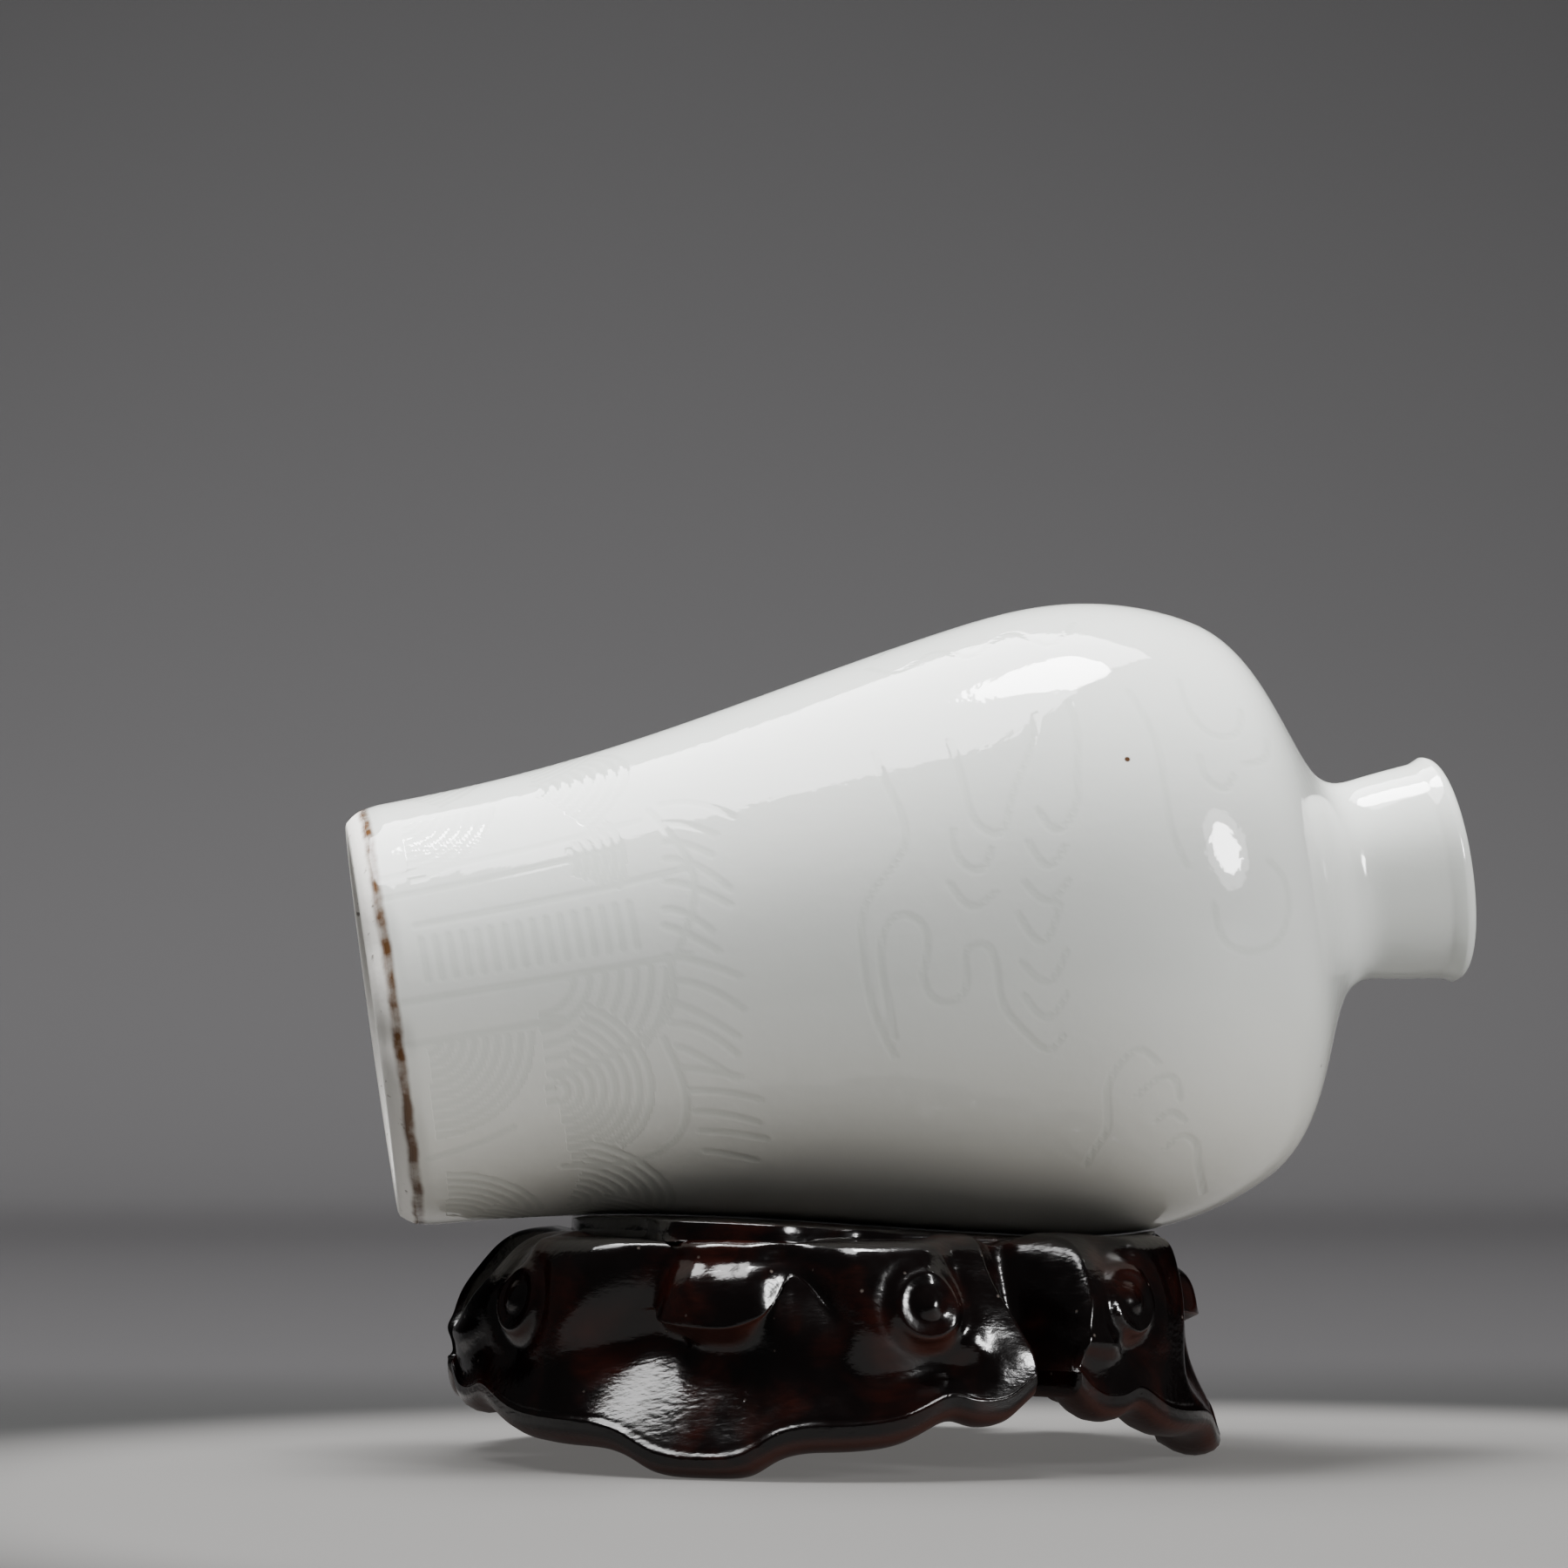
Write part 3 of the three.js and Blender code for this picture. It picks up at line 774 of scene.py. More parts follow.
        # Burnt specks, 0.3 to 0.5 mm across, one in a patch of about 7 mm, most of them left out.
        cells = add_node(tree, "ShaderNodeTexVoronoi", vector=place, scale=per_size(self.speck_spacing))
        dot = add_node(
            tree,
            "ShaderNodeMapRange",
            value=cells.outputs["Distance"],
            from_min=self.speck_edges[0],
            from_max=self.speck_edges[1],
        ).outputs["Result"]
        pick = add_node(tree, "ShaderNodeSeparateColor", color=cells.outputs["Color"]).outputs["Red"]
        kept = add_node(
            tree, "ShaderNodeMath", {"operation": "GREATER_THAN"}, i0=pick, i1=self.specks_left_out
        )
        dot = add_node(tree, "ShaderNodeMath", {"operation": "MULTIPLY"}, i0=dot, i1=kept.outputs[0])
        return add_node(
            tree, "ShaderNodeMix", {"data_type": "RGBA"}, i0=dot.outputs[0], i6=tint, i7=linear(self.speck)
        ).outputs[2]

    def body_tint(self, tree: bpy.types.NodeTree, grit: bpy.types.NodeSocket) -> bpy.types.NodeSocket:
        """Colours the bare porcelain of the foot ring: white, with dirt rubbed into its grit.

        Args:
            tree: the material's node tree.
            grit: the fine grain of the bare body.

        Returns:
            The body's colour.
        """
        dirt = add_node(tree, "ShaderNodeMapRange", value=grit, from_min=0.66, from_max=0.74, to_max=0.7)
        return add_node(
            tree,
            "ShaderNodeMix",
            {"data_type": "RGBA"},
            i0=dirt.outputs["Result"],
            i6=linear(self.bare),
            i7=linear(self.speck),
        ).outputs[2]

    def foot_edge(
        self, tree: bpy.types.NodeTree, place: bpy.types.NodeSocket, bottle: Bottle
    ) -> tuple[bpy.types.NodeSocket, bpy.types.NodeSocket]:
        """Finds where the glaze lies and where its edge is iron-brown.

        The place along the axis is the dot product of the axis with the arm from the foot's middle.

        Args:
            tree: the material's node tree.
            place: places in metres.
            bottle: the form, for its axis and the width of its foot ring.

        Returns:
            1 where the glaze lies, 0 on the bare ring; and the strength of the brown line.
        """
        axis = (math.cos(bottle.rise), 0.0, math.sin(bottle.rise))
        foot = (bottle.foot_x * MM, 0.0, bottle.foot_height * MM)
        arm = add_node(tree, "ShaderNodeVectorMath", {"operation": "SUBTRACT"}, i0=place, i1=foot)
        arm = arm.outputs["Vector"]
        along = add_node(tree, "ShaderNodeVectorMath", {"operation": "DOT_PRODUCT"}, i0=arm, i1=axis)
        away = add_node(tree, "ShaderNodeVectorMath", {"operation": "LENGTH"}, i0=arm).outputs["Value"]
        # The glaze stops short of the foot along a ragged edge.
        ragged = add_node(
            tree, "ShaderNodeTexNoise", vector=place, scale=per_size(self.edge_size), detail=4.0
        )
        wander = add_node(
            tree,
            "ShaderNodeMath",
            {"operation": "MULTIPLY_ADD"},
            i0=ragged.outputs["Fac"],
            i1=self.edge_wander * MM,
            i2=along.outputs["Value"],
        ).outputs[0]
        glazed = add_node(
            tree,
            "ShaderNodeMapRange",
            {"interpolation_type": "SMOOTHSTEP"},
            value=wander,
            from_min=(self.glaze_end - self.glaze_edge) * MM,
            from_max=(self.glaze_end + self.glaze_edge) * MM,
        ).outputs["Result"]
        # The middle of the base is glazed again inside the bare ring.
        ring_inner = bottle.outline[0][1] - bottle.bevel_depth - bottle.ring_width - self.base_edge
        inside = add_node(tree, "ShaderNodeMath", {"operation": "LESS_THAN"}, i0=away, i1=ring_inner * MM)
        glazed = add_node(tree, "ShaderNodeMath", {"operation": "MAXIMUM"}, i0=glazed, i1=inside.outputs[0])
        # Where the glaze ends, iron burns brown in a line that is blotched every millimetre or two.
        line = (self.glaze_end + self.line_place) * MM
        off_line = add_node(tree, "ShaderNodeMath", {"operation": "SUBTRACT"}, i0=wander, i1=line)
        off_line = add_node(tree, "ShaderNodeMath", {"operation": "ABSOLUTE"}, i0=off_line.outputs[0])
        rust = add_node(
            tree,
            "ShaderNodeMapRange",
            {"interpolation_type": "SMOOTHSTEP"},
            value=off_line.outputs[0],
            from_min=self.line_width * 0.75 * MM,
            from_max=self.line_width * 0.2 * MM,
        ).outputs["Result"]
        blotch = add_node(
            tree, "ShaderNodeTexNoise", vector=place, scale=per_size(self.blotch_size), detail=5.0
        )
        strength = add_node(
            tree,
            "ShaderNodeMapRange",
            value=blotch.outputs["Fac"],
            from_min=0.3,
            from_max=0.6,
            to_min=0.5,
            to_max=1.0,
        ).outputs["Result"]
        rust = add_node(tree, "ShaderNodeMath", {"operation": "MULTIPLY"}, i0=rust, i1=strength).outputs[0]
        outer = add_node(
            tree, "ShaderNodeMath", {"operation": "GREATER_THAN"}, i0=away, i1=self.line_starts * MM
        ).outputs[0]
        rust = add_node(tree, "ShaderNodeMath", {"operation": "MULTIPLY"}, i0=rust, i1=outer)
        return glazed.outputs[0], rust.outputs[0]

    def relief(
        self,
        tree: bpy.types.NodeTree,
        place: bpy.types.NodeSocket,
        in_cut: bpy.types.NodeSocket,
        glazed: bpy.types.NodeSocket,
        grit: bpy.types.NodeSocket,
    ) -> bpy.types.NodeSocket:
        """Sinks the cuts and breaks the mirror very slightly with orange peel; the bare ring is gritty.

        Args:
            tree: the material's node tree.
            place: places in metres.
            in_cut: 1 in the middle of an incised line, 0 beside it.
            glazed: 1 where the glaze lies.
            grit: the fine grain of the bare body.

        Returns:
            The shading normal.
        """
        peel = add_node(tree, "ShaderNodeTexNoise", vector=place, scale=per_size(self.peel_size), detail=2.0)
        skin = add_node(
            tree,
            "ShaderNodeMath",
            {"operation": "MULTIPLY_ADD"},
            i0=in_cut,
            i1=-1.0,
            i2=peel.outputs["Fac"],
        ).outputs[0]
        body = add_node(tree, "ShaderNodeMath", {"operation": "MULTIPLY"}, i0=grit, i1=2.0).outputs[0]
        level = add_node(
            tree, "ShaderNodeMix", {"data_type": "FLOAT"}, i0=glazed, i2=body, i3=skin
        ).outputs[0]
        return add_node(
            tree,
            "ShaderNodeBump",
            strength=self.relief_strength,
            distance=self.relief_depth * MM,
            height=level,
        ).outputs["Normal"]


@dataclass(frozen=True)
class Hardwood:
    """Close-grained dark hardwood, carved, stained near black, waxed and rubbed.

    To the eye it is a black-brown with red showing through, and highlights full of fine scratches.
    Lengths are in millimetres; the pore's edges are shares of its spacing.
    """

    name: str = "polished_dark_hardwood"
    dark: str = "#060303"
    red: str = "#260c07"
    wax: str = "#6f6660"
    # painted reflection of the pale floor on wood that faces down
    floor_lit_underside: str = "#33160e"
    grain_length: float = 5.0
    grain_width: float = 0.4
    rubbed_size: float = 5.882
    rubbed_edges: tuple[float, float] = (0.46, 0.72)
    pore_spacing: float = 0.9091
    pore_edges: tuple[float, float] = (0.16, 0.06)
    pores_left_out: float = 0.9
    underside_tilt: tuple[float, float] = (-0.1, -0.7)
    worn_size: float = 1.667
    roughness: tuple[float, float] = (0.12, 0.2)
    underside_roughness: float = 0.42
    scratch_length: float = 0.5882
    scratch_width: float = 0.3333
    scratch_turn: tuple[float, float, float] = (0.2, 0.9, 0.3)
    relief_depth: float = 0.06
    relief_strength: float = 0.35
    index: float = 1.46

    def build(self) -> bpy.types.Material:
        """Builds the hardwood's material.

        Returns:
            The material.
        """
        material = bpy.data.materials.new(self.name)
        material.use_nodes = True
        tree = material.node_tree
        coordinates = add_node(tree, "ShaderNodeTexCoord")
        place = coordinates.outputs["Object"]
        # The grain runs along the stand: streaks about 0.4 mm wide and some 5 mm long.
        across = per_size(self.grain_width)
        along = add_node(
            tree, "ShaderNodeMapping", vector=place, scale=(per_size(self.grain_length), across, across)
        )
        grain = add_node(
            tree, "ShaderNodeTexNoise", vector=along.outputs["Vector"], scale=1.0, detail=4.0
        ).outputs["Fac"]
        pit = self.pores(tree, place)
        # Painted reflection: wood facing down, the underside and the lower half of the lip, is coloured a
        # lighter red for the pale floor's light reflected there, and is given a duller finish.
        facing = add_node(tree, "ShaderNodeSeparateXYZ", vector=coordinates.outputs["Normal"])
        floor_lit_underside = add_node(
            tree,
            "ShaderNodeMapRange",
            {"interpolation_type": "SMOOTHSTEP"},
            value=facing.outputs["Z"],
            from_min=self.underside_tilt[0],
            from_max=self.underside_tilt[1],
        ).outputs["Result"]
        shader = tree.nodes["Principled BSDF"]
        tree.links.new(self.tint(tree, place, grain, pit, floor_lit_underside), shader.inputs["Base Color"])
        tree.links.new(self.gloss(tree, place, floor_lit_underside), shader.inputs["Roughness"])
        tree.links.new(self.relief(tree, place, grain, pit), shader.inputs["Normal"])
        shader.inputs["IOR"].default_value = self.index
        return material

    def pores(self, tree: bpy.types.NodeTree, place: bpy.types.NodeSocket) -> bpy.types.NodeSocket:
        """Scatters open pores, 0.1 to 0.3 mm across, over the wood.

        Args:
            tree: the material's node tree.
            place: places in metres.

        Returns:
            1 in a pore, 0 beside it.
        """
        cells = add_node(tree, "ShaderNodeTexVoronoi", vector=place, scale=per_size(self.pore_spacing))
        pit = add_node(
            tree,
            "ShaderNodeMapRange",
            value=cells.outputs["Distance"],
            from_min=self.pore_edges[0],
            from_max=self.pore_edges[1],
        ).outputs["Result"]
        pick = add_node(tree, "ShaderNodeSeparateColor", color=cells.outputs["Color"]).outputs["Red"]
        kept = add_node(
            tree, "ShaderNodeMath", {"operation": "GREATER_THAN"}, i0=pick, i1=self.pores_left_out
        )
        return add_node(
            tree, "ShaderNodeMath", {"operation": "MULTIPLY"}, i0=pit, i1=kept.outputs[0]
        ).outputs[0]

    def tint(
        self,
        tree: bpy.types.NodeTree,
        place: bpy.types.NodeSocket,
        grain: bpy.types.NodeSocket,
        pit: bpy.types.NodeSocket,
        floor_lit_underside: bpy.types.NodeSocket,
    ) -> bpy.types.NodeSocket:
        """Colours the wood.

        Args:
            tree: the material's node tree.
            place: places in metres.
            grain: the wood's streaks.
            pit: 1 in a pore.
            floor_lit_underside: 1 where the wood faces down, painted with the floor's reflected light.

        Returns:
            The wood's colour.
        """
        # Where the dark stain is rubbed thin, red patches of 3 to 6 mm show, streaked by the grain.
        patch = add_node(
            tree,
            "ShaderNodeTexNoise",
            vector=place,
            scale=per_size(self.rubbed_size),
            detail=3.0,
            distortion=0.6,
        )
        rubbed = add_node(
            tree,
            "ShaderNodeMapRange",
            {"interpolation_type": "SMOOTHSTEP"},
            value=patch.outputs["Fac"],
            from_min=self.rubbed_edges[0],
            from_max=self.rubbed_edges[1],
        ).outputs["Result"]
        streak = add_node(
            tree, "ShaderNodeMapRange", value=grain, from_min=0.3, from_max=0.7, to_min=0.35, to_max=1.0
        ).outputs["Result"]
        rubbed = add_node(tree, "ShaderNodeMath", {"operation": "MULTIPLY"}, i0=rubbed, i1=streak)
        tint = add_node(
            tree,
            "ShaderNodeMix",
            {"data_type": "RGBA"},
            i0=rubbed.outputs[0],
            i6=linear(self.dark),
            i7=linear(self.red),
        ).outputs[2]
        # Old wax sits pale in the pores.
        faint = add_node(tree, "ShaderNodeMath", {"operation": "MULTIPLY"}, i0=pit, i1=0.5).outputs[0]
        tint = add_node(
            tree, "ShaderNodeMix", {"data_type": "RGBA"}, i0=faint, i6=tint, i7=linear(self.wax)
        ).outputs[2]
        # Painted reflection: wood facing down is coloured a lighter red for the floor's light reflected
        # there.
        return add_node(
            tree, "ShaderNodeMix", {"data_type": "RGBA"}, i0=floor_lit_underside, i6=tint, i7=linear(self.floor_lit_underside)
        ).outputs[2]

    def gloss(
        self, tree: bpy.types.NodeTree, place: bpy.types.NodeSocket, floor_lit_underside: bpy.types.NodeSocket
    ) -> bpy.types.NodeSocket:
        """Leaves the rubbed gloss uneven, and duller where the wood faces down.

        Args:
            tree: the material's node tree.
            place: places in metres.
            floor_lit_underside: 1 where the wood faces down.

        Returns:
            The roughness.
        """
        worn = add_node(tree, "ShaderNodeTexNoise", vector=place, scale=per_size(self.worn_size), detail=5.0)
        gloss = add_node(
            tree,
            "ShaderNodeMapRange",
            value=worn.outputs["Fac"],
            from_min=0.35,
            from_max=0.65,
            to_min=self.roughness[0],
            to_max=self.roughness[1],
        ).outputs["Result"]
        return add_node(
            tree, "ShaderNodeMix", {"data_type": "FLOAT"}, i0=floor_lit_underside, i2=gloss, i3=self.underside_roughness
        ).outputs[0]

    def relief(
        self,
        tree: bpy.types.NodeTree,
        place: bpy.types.NodeSocket,
        grain: bpy.types.NodeSocket,
        pit: bpy.types.NodeSocket,
    ) -> bpy.types.NodeSocket:
        """Adds fine slanting scratches, the grain and its pores, a few hundredths of a millimetre deep.

        Args:
            tree: the material's node tree.
            place: places in metres.
            grain: the wood's streaks.
            pit: 1 in a pore.

        Returns:
            The shading normal.
        """
        long, short = per_size(self.scratch_length), per_size(self.scratch_width)
        stroke = add_node(
            tree, "ShaderNodeMapping", vector=place, scale=(long, long, short), rotation=self.scratch_turn
        )
        scratch = add_node(
            tree, "ShaderNodeTexNoise", vector=stroke.outputs["Vector"], scale=1.0, detail=3.0
        ).outputs["Fac"]
        both = add_node(tree, "ShaderNodeMath", {"operation": "ADD"}, i0=scratch, i1=grain).outputs[0]
        level = add_node(tree, "ShaderNodeMath", {"operation": "MULTIPLY_ADD"}, i0=pit, i1=-1.0, i2=both)
        return add_node(
            tree,
            "ShaderNodeBump",
            strength=self.relief_strength,
            distance=self.relief_depth * MM,
            height=level.outputs[0],
        ).outputs["Normal"]


@dataclass
class Stand:
    """The hardwood stand: three cloud-shaped heads round a dished seat, hollow beneath.

    Lengths are in millimetres. Angles are in degrees about the stand's middle, 0 towards the viewer.
    A head's own angle runs from -60 to 60 between the middles of the gaps beside it. A pair of
    angles is where a smooth step starts and ends. Profiles give radius and height down a face, lists
    of six have a value for the left and the right half of each head, and lists of three one for each
    head.
    """

    bottle: Bottle
    centre_x: float = -5.35
    heads: tuple[float, ...] = (-25.0, 78.0, 208.0)
    columns_per_head: int = 208
    edge_angle: float = 56.0
    edge_narrowings: tuple[float, ...] = (12.0, 5.5, 8.0, 11.0, 11.0, 11.0)
    gap_middle: float = 60.0
    lean_heights: tuple[float, float] = (6.8, 14.0)
    straight_lean: tuple[float, float] = (6.0, 14.8)
    straight_half: int = 2
    close_columns: tuple[tuple[float, float, float], ...] = ((1.0, 37.0, 6.0), (2.2, 57.5, 2.2))
    seat_clearance: float = 0.1
    seat_shift: float = 3.0
    pad_flap_radius: float = 22.1
    pad_gap_radius: float = 18.0
    pad_narrowing: tuple[float, float] = (9.0, 32.0)
    pad_step: float = 0.4
    pad_side: tuple[tuple[float, float, float], ...] = (
        (0.04, 0.1, 0.0),
        (0.06, 0.6, 0.0),
        (0.12, 0.94, 0.0),
        (0.2, 1.0, 0.1),
        (0.3, 1.0, 0.7),
    )
    trough_half_width: float = 5.0
    seat_rise: float = 0.2
    ledge_height: float = 14.95
    arris_radius: float = 26.5
    gap_radius: float = 22.0
    gap_height: float = 6.6
    lip_thickness: float = 1.6
    lip_width: float = 4.2
    sole_rounding: float = 0.5
    lip_section: tuple[tuple[float, float], ...] = (
        (-0.03, 0.08),
        (0.0, 0.26),
        (-0.1, 0.5),
        (-0.4, 0.74),
        (-0.95, 0.92),
        (-1.6, 1.0),
        (-2.3, 0.97),
        (-3.1, 0.8),
        (-4.2, 0.35),
    )
    hollow_ceiling: float = 7.6
    hollow_radius: float = 16.4
    hollow_crown: float = 0.4
    whorl_angles: tuple[float, ...] = (33.5, 37.5, 41.0, 37.0, 37.0, 37.0)
    whorl_height: float = 11.2
    carving_depth: float = 0.85
    carving_end: tuple[float, float] = (48.0, 55.0)
    right_turn: tuple[float, float] = (-4.0, 7.0)
    left_dome_turn: tuple[float, float] = (11.0, 26.0)
    right_dome_turn: tuple[float, float] = (17.0, 29.0)
    end_turn: tuple[float, float] = (41.0, 50.0)
    flap_shift: float = 1.0
    left_flank: tuple[float, float] = (10.5, 16.0)
    left_flank_lean: float = 3.0
    right_flank: tuple[float, float] = (8.5, 15.0)
    right_flank_lean: float = 4.0
    pocket_middle: float = 0.5
    pocket_start: float = 1.5
    pocket_ends: tuple[float, float] = (9.0, 12.0)
    pocket_spread: float = 12.0
    lip_corners: tuple[float, float] = (0.6, 2.1)
    corner_turn: tuple[float, float] = (-3.0, 3.0)
    corner_angle: float = 13.0
    corner_power: float = 2.2
    lip_end: tuple[float, float] = (13.0, 24.0)
    flap_narrowing: float = 1.4
    flap_swell: float = 0.55
    overhang_power: int = 12
    flap_top_drops: tuple[float, ...] = (0.0, 1.5, 0.0)
    flap_profile: tuple[tuple[float, float], ...] = (
        (22.3, 15.05),
        (22.9, 14.6),
        (23.05, 13.7),
        (23.9, 12.7),
        (24.6, 11.2),
        (25.1, 9.5),
    )
    under_flap_profile: tuple[tuple[float, float], ...] = (
        (25.0, 9.4),
        (23.7, 8.8),
        (23.1, 8.0),
        (23.4, 6.6),
        (24.3, 5.0),
        (25.4, 3.2),
        (26.5, 1.3),
    )
    valley_profile: tuple[tuple[float, float], ...] = (
        (21.0, 14.9),
        (22.1, 14.7),
        (22.4, 13.5),
        (22.45, 12.2),
        (22.4, 11.1),
        (22.2, 10.0),
        (22.0, 9.1),
        (22.15, 8.2),
        (22.95, 7.15),
        (24.1, 5.95),
        (25.3, 4.7),
        (26.5, 3.4),
    )
    left_dome_profile: tuple[tuple[float, float], ...] = (
        (22.6, 15.1),
        (24.2, 14.8),
        (24.95, 13.8),
        (25.35, 12.6),
        (25.7, 11.2),
        (25.9, 9.8),
        (25.95, 9.0),
        (26.0, 8.2),
        (26.05, 7.5),
        (26.15, 6.8),
        (26.3, 6.1),
        (26.5, 5.3),
    )
    dome_profile: tuple[tuple[float, float], ...] = (
        (22.6, 15.0),
        (24.1, 14.7),
        (24.9, 13.8),
        (25.35, 12.6),
        (25.7, 11.2),
        (25.9, 9.8),
        (25.85, 8.9),
        (25.6, 8.1),
        (25.4, 7.35),
        (25.5, 6.7),
        (25.95, 6.1),
        (26.5, 5.3),
    )
    right_shoulder_profile: tuple[tuple[float, float], ...] = (
        (21.0, 14.9),
        (22.1, 14.7),
        (22.5, 13.5),
        (22.7, 12.3),
        (22.8, 11.4),
        (23.1, 10.6),
        (24.0, 9.7),
        (24.8, 8.6),
        (25.2, 7.4),
        (25.5, 6.1),
        (25.9, 4.8),
        (26.5, 3.4),
    )
    end_profile: tuple[tuple[float, float], ...] = (
        (19.8, 15.35),
        (21.9, 15.05),
        (23.6, 14.1),
        (24.8, 12.7),
        (25.8, 11.0),
        (26.2, 9.5),
        (26.5, 8.7),
        (26.5, 8.0),
        (26.3, 7.3),
        (26.2, 6.6),
        (26.2, 5.9),
        (26.5, 5.2),
    )
    front_right_end_profile: tuple[tuple[float, float], ...] = (
        (19.8, 15.35),
        (21.6, 15.1),
        (22.8, 14.2),
        (23.6, 12.8),
        (24.6, 11.1),
        (25.4, 9.5),
        (25.75, 8.7),
        (26.05, 8.0),
        (26.25, 7.3),
        (26.38, 6.6),
        (26.45, 5.9),
        (26.5, 5.2),
    )
    arris_line: tuple[tuple[float, float], ...] = (
        (0.0, 1.3),
        (5.0, 1.45),
        (8.5, 2.0),
        (11.5, 2.75),
        (15.0, 3.25),
        (22.0, 3.45),
        (28.0, 3.6),
        (33.0, 4.0),
        (37.5, 4.8),
        (41.5, 5.35),
        (44.5, 5.05),
        (48.0, 4.95),
        (51.5, 5.3),
        (54.0, 6.0),
        (56.0, 6.6),
    )

    def head_columns(self) -> tuple[np.ndarray, np.ndarray, np.ndarray]:
        """Spreads the columns over the heads, closer at the whorls and at the gaps.

        The columns' density is 1 + sum of k exp(-((|a| - m) / w)^2 / 2); equal shares of its integral
        give the angles.

        Returns:
            Each column's angle on its head, the head's direction, and true degrees for each degree
            of head angle.
        """
        fine = np.linspace(-self.gap_middle, self.gap_middle, 4001)
        density = np.ones_like(fine)
        for more, middle, width in self.close_columns:
            density += more * bump(np.abs(fine) - middle, width)
        total = np.append(0, np.cumsum((density[1:] + density[:-1]) / 2))
        angle = np.interp(np.linspace(0, total[-1], self.columns_per_head, endpoint=False), total, fine)
        before = (np.array(self.heads) - np.roll(self.heads, 1)) % 360
        after = np.roll(before, -1)
        scales = np.where(angle < 0, before[:, None], after[:, None]) / (2 * self.gap_middle)
        return np.tile(angle, len(self.heads)), np.repeat(self.heads, len(angle)), scales.ravel()

    def underside(self, x: np.ndarray) -> np.ndarray:
        """Reads how high the lying bottle's underside is at each X."""
        along = np.linspace(2, 70, 300)
        radius = self.bottle.body_radius(along)
        rise = self.bottle.rise
        place = self.bottle.foot_x + along * math.cos(rise) + radius * math.sin(rise)
        height = self.bottle.foot_height + along * math.sin(rise) - radius * math.cos(rise)
        return np.interp(x, place, height)

    def seat_height(self, x: np.ndarray, y: np.ndarray) -> np.ndarray:
        """Follows the bottle's underside along X, with a shallow trough.

        Args:
            x: places along the stand.
            y: places across it.

        Returns:
            Heights of the seat.
        """
        trough = self.seat_rise * ease(np.abs(y), 0, self.trough_half_width)
        return self.underside(x) - self.seat_clearance + trough

    def side_face(self, angle: np.ndarray, share: np.ndarray, front: np.ndarray) -> np.ndarray:
        """Shapes the face beside the flap: down the valley, over the dome round the whorl, over the end.

        Splines run down through the stations of each profile, and smooth steps in the head angle
        blend one profile into the next.

        Args:
            angle: head angles, one for each column.
            share: places down the face.
            front: 1 for the columns of the front head, 0 for the others.

        Returns:
            Radius and height, by place down the face, column, and which of the two.
        """
        places = np.concatenate([np.linspace(0, 0.5, 6), np.linspace(0.5, 1, 7)[1:]])
        valley, right_shoulder, left_dome, dome, end, front_end = (
            smooth_curve(places, np.array(stations), share)[:, None, :]
            for stations in (
                self.valley_profile,
                self.right_shoulder_profile,
                self.left_dome_profile,
                self.dome_profile,
                self.end_profile,
                self.front_right_end_profile,
            )
        )
        away = np.abs(angle)
        on_right = ease(angle, *self.right_turn)[:, None]
        on_left_dome, on_right_dome = ease(away, *self.left_dome_turn), ease(away, *self.right_dome_turn)
        on_dome = np.where(angle < 0, on_left_dome, on_right_dome)[:, None]
        face = mix(valley, right_shoulder, on_right)
        face = mix(face, mix(left_dome, dome, on_right), on_dome)
        end = mix(end, front_end, front[:, None] * on_right)
        return mix(face, end, ease(away, *self.end_turn)[:, None])

    def profile(
        self, angle: np.ndarray, share: np.ndarray, top_drop: np.ndarray, front: np.ndarray
    ) -> tuple[np.ndarray, np.ndarray]:
        """Works out radius and height of a head's outer face, from its top to the arris.

        The flap lies over the side face, and its lip is at half the way down in every column. Above
        the lip the flap swells by s sin(pi r)^0.7 and narrows to its sides by n r (a / a_c)^2.2, with
        r the way down to the lip and a the angle from its middle; the lip rises to its corners by
        c (a / a_c)^2.2. Below the lip the wood keeps its radius for (1 - g)^12 of the way and then
        falls into the pocket, with g the way from the lip to the arris.

        Args:
            angle: head angles, one for each column.
            share: places down the face; the flap's lip is at 0.5.
            top_drop: how far the flap's root is set down, for each column.
            front: 1 for the columns of the front head, 0 for the others.

        Returns:
            Radius and height, one row for each place and one column for each angle.
        """
        from_flap = np.abs(angle - self.flap_shift)[None, :]
        reach = np.minimum(share / 0.5, 1)[:, None]
        gone = np.maximum(share / 0.5 - 1, 0)[:, None]
        over, under = share[share < 0.5], share[share >= 0.5]
        count = len(over)

        left_lean, right_lean = self.left_flank_lean * (1 - reach), self.right_flank_lean * (1 - reach)
        off_left = ease(from_flap, self.left_flank[0] - left_lean, self.left_flank[1] - left_lean)
        off_right = ease(from_flap, self.right_flank[0], self.right_flank[1] + right_lean)
        on_flap = 1 - np.where(angle > 0, off_right, off_left)
        left_pocket, right_pocket = self.pocket_ends
        pocket_end = np.where(angle > 0, right_pocket + self.pocket_spread * gone, left_pocket)
        on_pocket = 1 - ease(np.abs(angle - self.pocket_middle)[None, :], self.pocket_start, pocket_end)

        flap = smooth_curve(np.linspace(0, 0.5, 6), np.array(self.flap_profile), over)[:, None, :]
        pocket = smooth_curve(np.linspace(0.5, 1, 7), np.array(self.under_flap_profile), under)[:, None, :]
        face = self.side_face(angle, share, front)
        face[:count] = mix(face[:count], flap, on_flap[:count, :, None])
        face[count:] = mix(face[count:], pocket, on_pocket[count:, :, None])
        radius, height = face[..., 0], face[..., 1]

